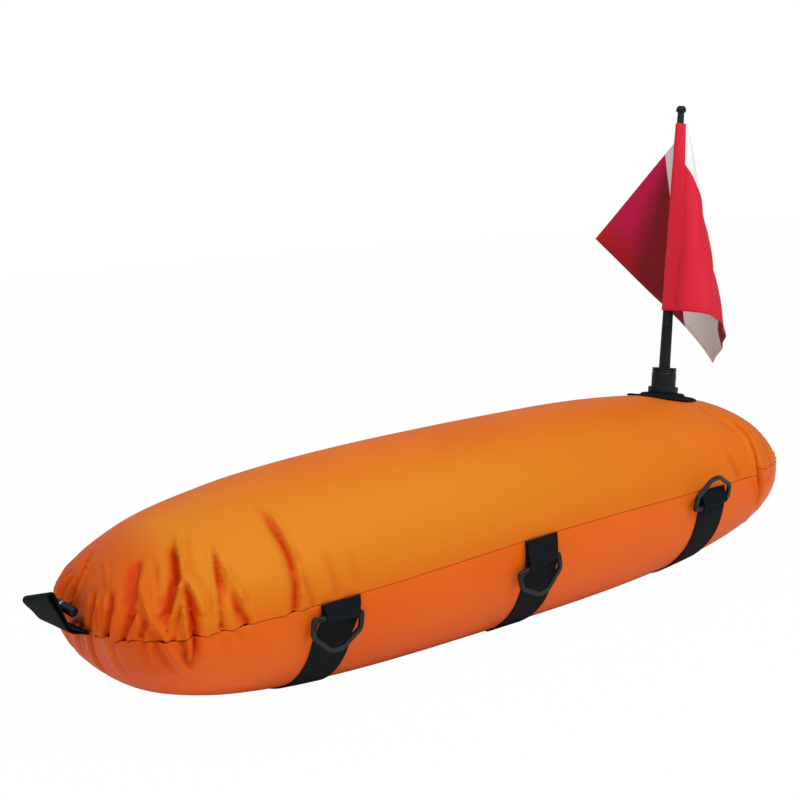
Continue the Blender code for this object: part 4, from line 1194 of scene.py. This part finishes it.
def make_valve_cap(place):
    """The cap, with grooves round its side, and the bright collar behind it."""
    wall = FIT_GAP * 2
    inner = VALVE_TUBE_RADIUS + FIT_GAP
    cap_back = -(VALVE_CAP_LENGTH - FIT_GAP - wall)
    cap = [(0, FIT_GAP), (inner, FIT_GAP), (inner, cap_back), (VALVE_CAP_RADIUS, cap_back)]
    for i in range(CAP_RIBS):
        low = cap_back + (CAP_RIB_START + CAP_RIB_PITCH * i) * VALVE_CAP_LENGTH
        for step, depth in enumerate((0, CAP_GROOVE_DEPTH, CAP_GROOVE_DEPTH, 0)):
            cap.append((VALVE_CAP_RADIUS - depth, low + step * CAP_GROOVE_STEP))
    cap += [(VALVE_CAP_RADIUS, 0), (VALVE_CAP_RADIUS - wall, FIT_GAP + wall),
            (VALVE_CAP_RADIUS - wall * 3, FIT_GAP + wall * 2), (0, FIT_GAP + wall * 2)]
    turned_piece("valve_cap_cover", cap, 0.0, place, "valve_cap", "valve_cap", sharp=50.0)
    front = cap_back - FIT_GAP
    back = front - VALVE_RING_WIDTH
    ring = [(inner, back), (VALVE_RING_RADIUS, back), (VALVE_RING_RADIUS, front), (inner, front)]
    turned_piece("valve_band", ring, 0.0003, place, "float", "valve_ring", finish=SILVER)


# Socket, pole and flag

POLE_FRAME = Matrix.Translation(skin(SOCKET_PLACE, math.pi / 2, UPPER)) @ Matrix.Rotation(POLE_LEAN, 4, "Y")
FLANGE_TOP = SOCKET_SEAT + SOCKET_FLANGE_THICKNESS
PATCH_HOLE = SOCKET_RADIUS + FIT_GAP
PATCH_SIDES = 96
PATCH_DRAWN_IN = 0.18
PATCH_STEP = 0.004
PATCH_CURL = 0.0007
PATCH_CURL_START = 0.86
PATCH_ROUNDING = 0.0003
PATCH_STITCH = (0.0024, 0.0032, 0.00033, 0.1)
SOCKET_GROOVE_DEPTH = 0.0005
SOCKET_GROOVE_DROPS = (0.0040, 0.0034, 0.0026, 0.0020)
SOCKET_ROUNDING = 0.0008
POLE_ROUNDING = 0.0006

# The flag's ripples, the strips of painted shade, darker and redder, on its back face, and its sewing
HELD_WIDTH = 0.030
RIPPLE = 0.0013
RIPPLE_DROP = 0.12
CRUMPLE = 0.0010
WIDEST_STRIP = 0.018
STRIP_BEND = math.radians(3)
DARK_FAN = 1.37
DARK_SPAN = 0.20
FLY_STRIP = 0.040
FLY_WARMTH = 1.6
FLY_DARKNESS = 0.55
FLY_DARK_FAN = 1.50
FLY_DARK_SPAN = 0.1
HEM_INSET = 0.0045
HEM_STEPS = 120
HEM_START = 56
HEM_STITCH = (0.0019, 0.0027, 0.00022, 0.05)
HEM_SHARE = 0.15
SLEEVE_SIDES = 96
SLEEVE_CRUMPLE = 0.00022


def top_surface(x, y, out):
    place = np.array(x / (HALF_LENGTH + out))
    start = float(seam_angle(place))
    angle = math.acos(-y / ((HALF_WIDTH + out) * float(plan_share(place))))
    turn = (angle - start) * math.pi / (math.pi - 2 * start)
    return Vector(skin_points(place, np.array(turn), UPPER, out))


def patch_points(radii, lift):
    """Points of the patch: over the socket's flange, then down on to the cover and up at its edge."""
    back = POLE_FRAME.inverted()
    top = FLANGE_TOP + FIT_GAP
    flange_edge = SOCKET_FLANGE_RADIUS + PATCH_THICKNESS + PATCH_STEP
    rows = []
    for radius in radii:
        row = []
        for k in range(PATCH_SIDES + 1):
            angle = 2 * math.pi * (k % PATCH_SIDES) / PATCH_SIDES
            beyond = max(0.0, radius - SOCKET_FLANGE_RADIUS) * PATCH_DRAWN_IN * max(0.0, -math.sin(angle))
            local = Vector((math.cos(angle), math.sin(angle), 0)) * (radius - beyond)
            flat = POLE_FRAME @ local
            local.z = (back @ top_surface(flat.x, flat.y, PATCH_GAP)).z
            share = min(1.0, max(0.0, (flange_edge - radius) / PATCH_STEP))
            local.z += max(0.0, top - local.z) * taper(share)
            edge = max(0.0, (radius / PATCH_RADIUS - PATCH_CURL_START) / (1 - PATCH_CURL_START))
            local.z += lift + PATCH_CURL * edge * edge * (1 + math.sin(3 * angle + 0.6))
            row.append(tuple(POLE_FRAME @ local))
        rows.append(row)
    return np.array(rows)


def make_patch():
    """A round patch, stitched round its edge, that holds the socket's flange down."""
    radii = np.concatenate([np.linspace(PATCH_HOLE, SOCKET_FLANGE_RADIUS + 0.006, 14),
                            np.linspace(SOCKET_FLANGE_RADIUS + 0.008, PATCH_RADIUS, 12)])
    piece = flat_piece("socket_patch_cloth", patch_points(radii, PATCH_THICKNESS / 2), WEBBING, "float",
                       "socket_patch", PATCH_THICKNESS, PATCH_ROUNDING, closed=True)
    bm = bmesh.new()
    up = POLE_FRAME.to_3x3() @ Vector((0, 0, 1))
    for radius in (PATCH_RADIUS - 0.0035, SOCKET_FLANGE_RADIUS + 0.0062):
        path = [Vector(p) for p in patch_points([radius], PATCH_THICKNESS + 0.0001)[0]]
        add_mesh(bm, stitch_row(path, [up] * len(path), *PATCH_STITCH))
    finish_piece("patch_stitches", bm, BLACK_THREAD, "float", sharp=80.0)


def make_socket():
    bore = POLE_BASE_RADIUS + FIT_GAP
    floor = SOCKET_SEAT + SOCKET_FLOOR
    body = [(0, SOCKET_SEAT), (SOCKET_FLANGE_RADIUS, SOCKET_SEAT), (SOCKET_FLANGE_RADIUS, FLANGE_TOP),
            (SOCKET_RADIUS, FLANGE_TOP)]
    for drop, depth in zip(SOCKET_GROOVE_DROPS, (0, SOCKET_GROOVE_DEPTH, SOCKET_GROOVE_DEPTH, 0)):
        body.append((SOCKET_RADIUS - depth, SOCKET_HEIGHT - drop))
    body += [(SOCKET_RADIUS, SOCKET_HEIGHT), (bore, SOCKET_HEIGHT), (bore, floor), (0, floor)]
    turned_piece("socket_body", body, SOCKET_ROUNDING, POLE_FRAME, "float", "flag_socket",
                 sides=WIDE_LATHE_SIDES)
    seat = FLANGE_TOP + FIT_GAP + PATCH_THICKNESS + FIT_GAP
    nut = [(PATCH_HOLE, seat), (NUT_RADIUS, seat), (NUT_RADIUS, seat + NUT_HEIGHT),
           (PATCH_HOLE, seat + NUT_HEIGHT)]
    turned_piece("socket_nut_ring", nut, SOCKET_ROUNDING, POLE_FRAME, "float", "socket_nut",
                 sides=WIDE_LATHE_SIDES, sharp=35.0)


def pole_radius(height):
    share = (height - SOCKET_HEIGHT) / (POLE_HEIGHT - SOCKET_HEIGHT)
    return POLE_BASE_RADIUS + (POLE_TIP_RADIUS - POLE_BASE_RADIUS) * min(1.0, max(0.0, share))


def make_pole():
    foot = SOCKET_SEAT + SOCKET_FLOOR + FIT_GAP
    pole = [(0, foot), (POLE_BASE_RADIUS, foot), (POLE_BASE_RADIUS, SOCKET_HEIGHT),
            (POLE_TIP_RADIUS, POLE_HEIGHT), (0, POLE_HEIGHT)]
    turned_piece("pole_shaft", pole, POLE_ROUNDING, POLE_FRAME, "pole", "flag_pole")
    low = SOCKET_HEIGHT + FIT_GAP
    high = low + COLLAR_THICKNESS
    inner = POLE_BASE_RADIUS + FIT_GAP
    collar = [(inner, low), (COLLAR_RADIUS, low), (COLLAR_RADIUS, high), (inner, high)]
    turned_piece("pole_stop", collar, POLE_ROUNDING, POLE_FRAME, "pole", "pole_collar",
                 sides=WIDE_LATHE_SIDES)
    base = POLE_HEIGHT + FIT_GAP
    tip = [(0, base), (POLE_TIP_RADIUS, base), (POLE_TIP_RADIUS * 0.92, base + TIP_HEIGHT * 0.12),
           (TIP_RADIUS, base + TIP_HEIGHT * 0.30), (TIP_RADIUS, base + TIP_HEIGHT * 0.62),
           (TIP_RADIUS * 0.72, base + TIP_HEIGHT * 0.94), (TIP_RADIUS * 0.3, base + TIP_HEIGHT),
           (0, base + TIP_HEIGHT)]
    turned_piece("pole_knob", tip, POLE_ROUNDING, POLE_FRAME, "pole", "pole_tip")


def hoist_point(up):
    height = FLAG_FOOT + up
    radius = pole_radius(height) + 3 * FIT_GAP + SLEEVE_THICKNESS + FLAG_THICKNESS / 2
    return Vector((-math.sin(FLAG_HEADING) * radius, math.cos(FLAG_HEADING) * radius, height))


def flag_ray(fan):
    """The way of the cloth's straight line at an angle from the hoist, after the folds before it."""
    ray = (hoist_point(0.0) - hoist_point(FLAG_HOIST)).normalized()
    ahead = Vector((math.cos(FLAG_HEADING), math.sin(FLAG_HEADING), 0))
    left = fan
    for span, curl in FLAG_FOLDS:
        step = min(left, span)
        tilt = math.atan2(1, curl)
        axis = ray * math.cos(tilt) - ray.cross(ahead) * math.sin(tilt)
        turn = Matrix.Rotation(-step / math.sin(tilt), 3, axis)
        ray = turn @ ray
        ahead = turn @ ahead
        left -= step
    return ray


def flag_table():
    """Angles from the hoist, with the ways of the cloth's straight lines and its normals."""
    fans = np.linspace(0.0, math.pi / 2, 1201)
    rays = np.array([tuple(flag_ray(fan)) for fan in fans])
    normals = np.cross(rays, np.gradient(rays, axis=0))
    normals /= np.linalg.norm(normals, axis=1, keepdims=True)
    turn = np.array(POLE_FRAME.to_3x3())
    return fans, rays @ turn.T, normals @ turn.T


def cloth(out, drop, table):
    """Where points of the flat flag hang, and the cloth's normals there."""
    fans, rays, normals = table
    out, drop = np.broadcast_arrays(out, drop)
    fan = np.arctan2(out, drop + FLAG_APEX)
    ray = np.stack([np.interp(fan, fans, rays[:, i]) for i in range(3)], axis=-1)
    normal = np.stack([np.interp(fan, fans, normals[:, i]) for i in range(3)], axis=-1)
    apex = POLE_FRAME @ (hoist_point(FLAG_HOIST) - flag_ray(0.0) * FLAG_APEX)
    points = np.array(apex) + ray * np.hypot(out, drop + FLAG_APEX)[..., None]
    held = np.clip(out / HELD_WIDTH, 0.0, 1.0)
    ripple = RIPPLE * np.sin(out * 190 + drop * 18) * held * np.clip(drop / RIPPLE_DROP, 0.0, 1.0)
    ripple += CRUMPLE * slow_noise(points, 26.0, 8) * held
    return points + normal * ripple[..., None], normal


def flag_fans():
    """Angles of the cloth's straight lines, close together where it folds."""
    last = math.atan2(FLAG_FLY, FLAG_APEX)
    fans = [math.atan2(FLAG_FLY, FLAG_HOIST + FLAG_APEX), last]
    done = 0.0
    for span, curl in FLAG_FOLDS:
        span = min(span, last - done)
        steps = math.ceil(span * max(math.hypot(1, curl) / STRIP_BEND, 1 / WIDEST_STRIP))
        fans += [done + span * i / steps for i in range(steps)]
        done += span
    return np.array(sorted(fans))


def make_flag():
    """The cloth: folded back past the pole, with slight ripples and sewn hems."""
    table = flag_table()
    fans = flag_fans()
    top = FLAG_APEX / np.cos(fans)
    foot = (FLAG_HOIST + FLAG_APEX) / np.cos(fans)
    end = np.minimum(foot, FLAG_FLY / np.maximum(np.sin(fans), 1e-6))
    reach = top[:, None] + np.maximum(end - top, 0.0)[:, None] * np.linspace(0.0, 1.0, 73)
    out = reach * np.sin(fans)[:, None]
    drop = reach * np.cos(fans)[:, None] - FLAG_APEX
    points, _ = cloth(out, drop, table)
    fan = np.broadcast_to(fans[:, None], out.shape)
    # Painted shade on the back face: darker towards the pole and along the fly edge, redder along the fly
    # edge.
    near_fly = np.clip(1 - (FLAG_FLY - out) / FLY_STRIP, 0.0, 1.0)
    painted_shade = np.maximum(np.clip((DARK_FAN - fan) / DARK_SPAN, 0.0, 1.0),
                      FLY_DARKNESS * near_fly * np.clip((FLY_DARK_FAN - fan) / FLY_DARK_SPAN, 0.0, 1.0))
    bm = bent_grid(points, np.stack([out, drop], axis=-1),
                   marks={"painted_shade": painted_shade, "painted_red_shade": np.clip(near_fly * FLY_WARMTH, 0.0, 1.0)})
    tidy(bm)
    piece = finish_piece("flag_sheet", bm, FLAG_FACE, "flag", "flag_cloth", sharp=60.0)
    piece.data.materials.append(SHADED_FLAG_BACK)
    modifier(piece, "SOLIDIFY", thickness=FLAG_THICKNESS * 0.7, offset=0.0, use_even_offset=True,
             material_offset=1)
    hems = make_hems(table)
    sleeve = make_sleeve(table)


def make_hems(table):
    """Thread along the free edges, on both faces."""
    bm = bmesh.new()
    outs = np.linspace(0.012, FLAG_FLY - HEM_INSET, HEM_STEPS)
    drops = np.linspace(HEM_INSET, FLAG_HOIST - HEM_INSET, HEM_STEPS)
    for out, drop in ((outs[HEM_START:], HEM_INSET), (outs, FLAG_HOIST - HEM_INSET),
                      (FLAG_FLY - HEM_INSET, drops)):
        line, ways = cloth(out, drop, table)
        for face in (1, -1):
            path = [Vector(p) for p in line + ways * face * FLAG_THICKNESS * 0.45]
            add_mesh(bm, stitch_row(path, [Vector(way * face) for way in ways], *HEM_STITCH))
    return finish_piece("flag_stitches", bm, RED_THREAD, "flag", sharp=80.0)


def make_sleeve(table):
    """The hem that the pole runs through: cloth drawn slightly towards the flag."""
    back = POLE_FRAME.inverted()
    rows = []
    for level in np.linspace(0.0, 1.0, 61):
        height = FLAG_FOOT + FLAG_HOIST * level
        drop = FLAG_HOIST * (1 - level)
        sewn = back @ Vector(cloth(min(HEM_REACH, HEM_SHARE * (drop + FLAG_APEX)), drop, table)[0])
        heading = math.atan2(sewn.y, sewn.x)
        reach = sewn.to_2d().length
        row = []
        for k in range(SLEEVE_SIDES + 1):
            angle = 2 * math.pi * (k % SLEEVE_SIDES) / SLEEVE_SIDES
            crease = math.sin(4 * angle + 3 * math.sin(level * 7)) * math.sin(level * 23 + angle * 2)
            radius = pole_radius(height) + FIT_GAP * 2 + SLEEVE_THICKNESS / 2 + SLEEVE_CRUMPLE * (1 + crease)
            aside = abs((angle - heading + math.pi) % (2 * math.pi) - math.pi)
            radius /= math.cos(max(0.0, math.acos(min(1.0, radius / reach)) - aside))
            point = Vector((radius * math.cos(angle), radius * math.sin(angle), height))
            row.append(tuple(POLE_FRAME @ point))
        rows.append(row)
    return flat_piece("sleeve_cloth", np.array(rows), FLAG_HEM, "flag", "flag_sleeve", SLEEVE_THICKNESS * 0.8,
                      closed=True)


# Floor, light and camera

def show_camera(owner, plain, shown, share, output):
    """Lights the scene with plain, while the camera sees shown by the share."""
    to_camera = maths(owner, "MULTIPLY", node(owner, "ShaderNodeLightPath").outputs["Is Camera Ray"], share)
    mix = node(owner, "ShaderNodeMixShader", {"Fac": to_camera, 1: plain, 2: shown})
    owner.node_tree.links.new(mix.outputs[0], owner.node_tree.nodes[output].inputs["Surface"])


def make_floor():
    bm = bmesh.new()
    bmesh.ops.create_circle(bm, cap_ends=True, segments=96, radius=9.0)
    mesh = bpy.data.meshes.new("floor")
    bm.to_mesh(mesh)
    bm.free()
    paper = new_material("floor_paper", (0.96, 0.96, 0.96), 0.9, Specular_IOR_Level=0.1)
    white = node(paper, "ShaderNodeEmission", {"Strength": 1.0})
    shader = paper.node_tree.nodes["Principled BSDF"]
    show_camera(paper, shader.outputs[0], white.outputs[0], 0.985, "Material Output")
    mesh.materials.append(paper)
    floor = bpy.data.objects.new("floor", mesh)
    bpy.context.scene.collection.objects.link(floor)


def make_world():
    world = bpy.data.worlds.new("studio")
    bpy.context.scene.world = world
    world.use_nodes = True
    soft = world.node_tree.nodes["Background"]
    soft.inputs["Color"].default_value = (1, 1, 1, 1)
    soft.inputs["Strength"].default_value = 0.40
    seen = node(world, "ShaderNodeBackground", {"Color": (1, 1, 1, 1), "Strength": 1.0})
    show_camera(world, soft.outputs[0], seen.outputs[0], 1.0, "World Output")


def add_lamp(name, place, aim, size, power):
    light = bpy.data.lights.new(name, "AREA")
    light.shape = "RECTANGLE"
    light.size, light.size_y = size
    light.energy = power
    lamp = bpy.data.objects.new(name, light)
    lamp.location = place
    lamp.rotation_euler = (Vector(aim) - Vector(place)).to_track_quat("-Z", "Y").to_euler()
    bpy.context.scene.collection.objects.link(lamp)


def make_camera():
    a, e, roll = VIEW_AZIMUTH, VIEW_ELEVATION, VIEW_ROLL
    back = Vector((math.sin(a) * math.cos(e), -math.cos(a) * math.cos(e), math.sin(e)))
    level = Vector((math.cos(a), math.sin(a), 0.0))
    upright = back.cross(level)
    right = level * math.cos(roll) + upright * math.sin(roll)
    up = upright * math.cos(roll) - level * math.sin(roll)
    data = bpy.data.cameras.new("camera")
    data.sensor_width = 36.0
    data.lens = VIEW_FOCUS * data.sensor_width / VIEW_SIZE
    data.shift_x = -(VIEW_CENTRE[0] - VIEW_SIZE / 2) / VIEW_SIZE
    data.shift_y = (VIEW_CENTRE[1] - VIEW_SIZE / 2) / VIEW_SIZE
    camera = bpy.data.objects.new("camera", data)
    basis = Matrix((right, up, back)).transposed().to_4x4()
    camera.matrix_world = Matrix.Translation(VIEW_TARGET + back * VIEW_DISTANCE) @ basis
    bpy.context.scene.collection.objects.link(camera)
    bpy.context.scene.camera = camera


make_camera()
upper_points = make_cover("cover_upper", UPPER, UPPER_NYLON, "cover_upper_panel")
lower_points = make_cover("cover_lower", LOWER, SHADED_LOWER_NYLON, "cover_lower_panel")
make_seam_stitches(upper_points, lower_points)
make_bladder()
make_bands()
make_towing_loop()
make_valve()
make_patch()
make_socket()
make_pole()
make_flag()
make_floor()
make_world()
add_lamp("key_light", (0.5, -2.0, 2.1), (-0.05, 0.0, 0.1), (1.1, 0.8), 31.5)
add_lamp("left_light", (-1.7, -0.6, 2.3), (-0.2, 0.0, 0.15), (1.0, 1.0), 19.5)
add_lamp("top_light", (-0.2, -0.2, 2.4), (0.0, 0.0, 0.1), (2.2, 0.8), 7.0)
bpy.context.scene.view_settings.view_transform = "Standard"
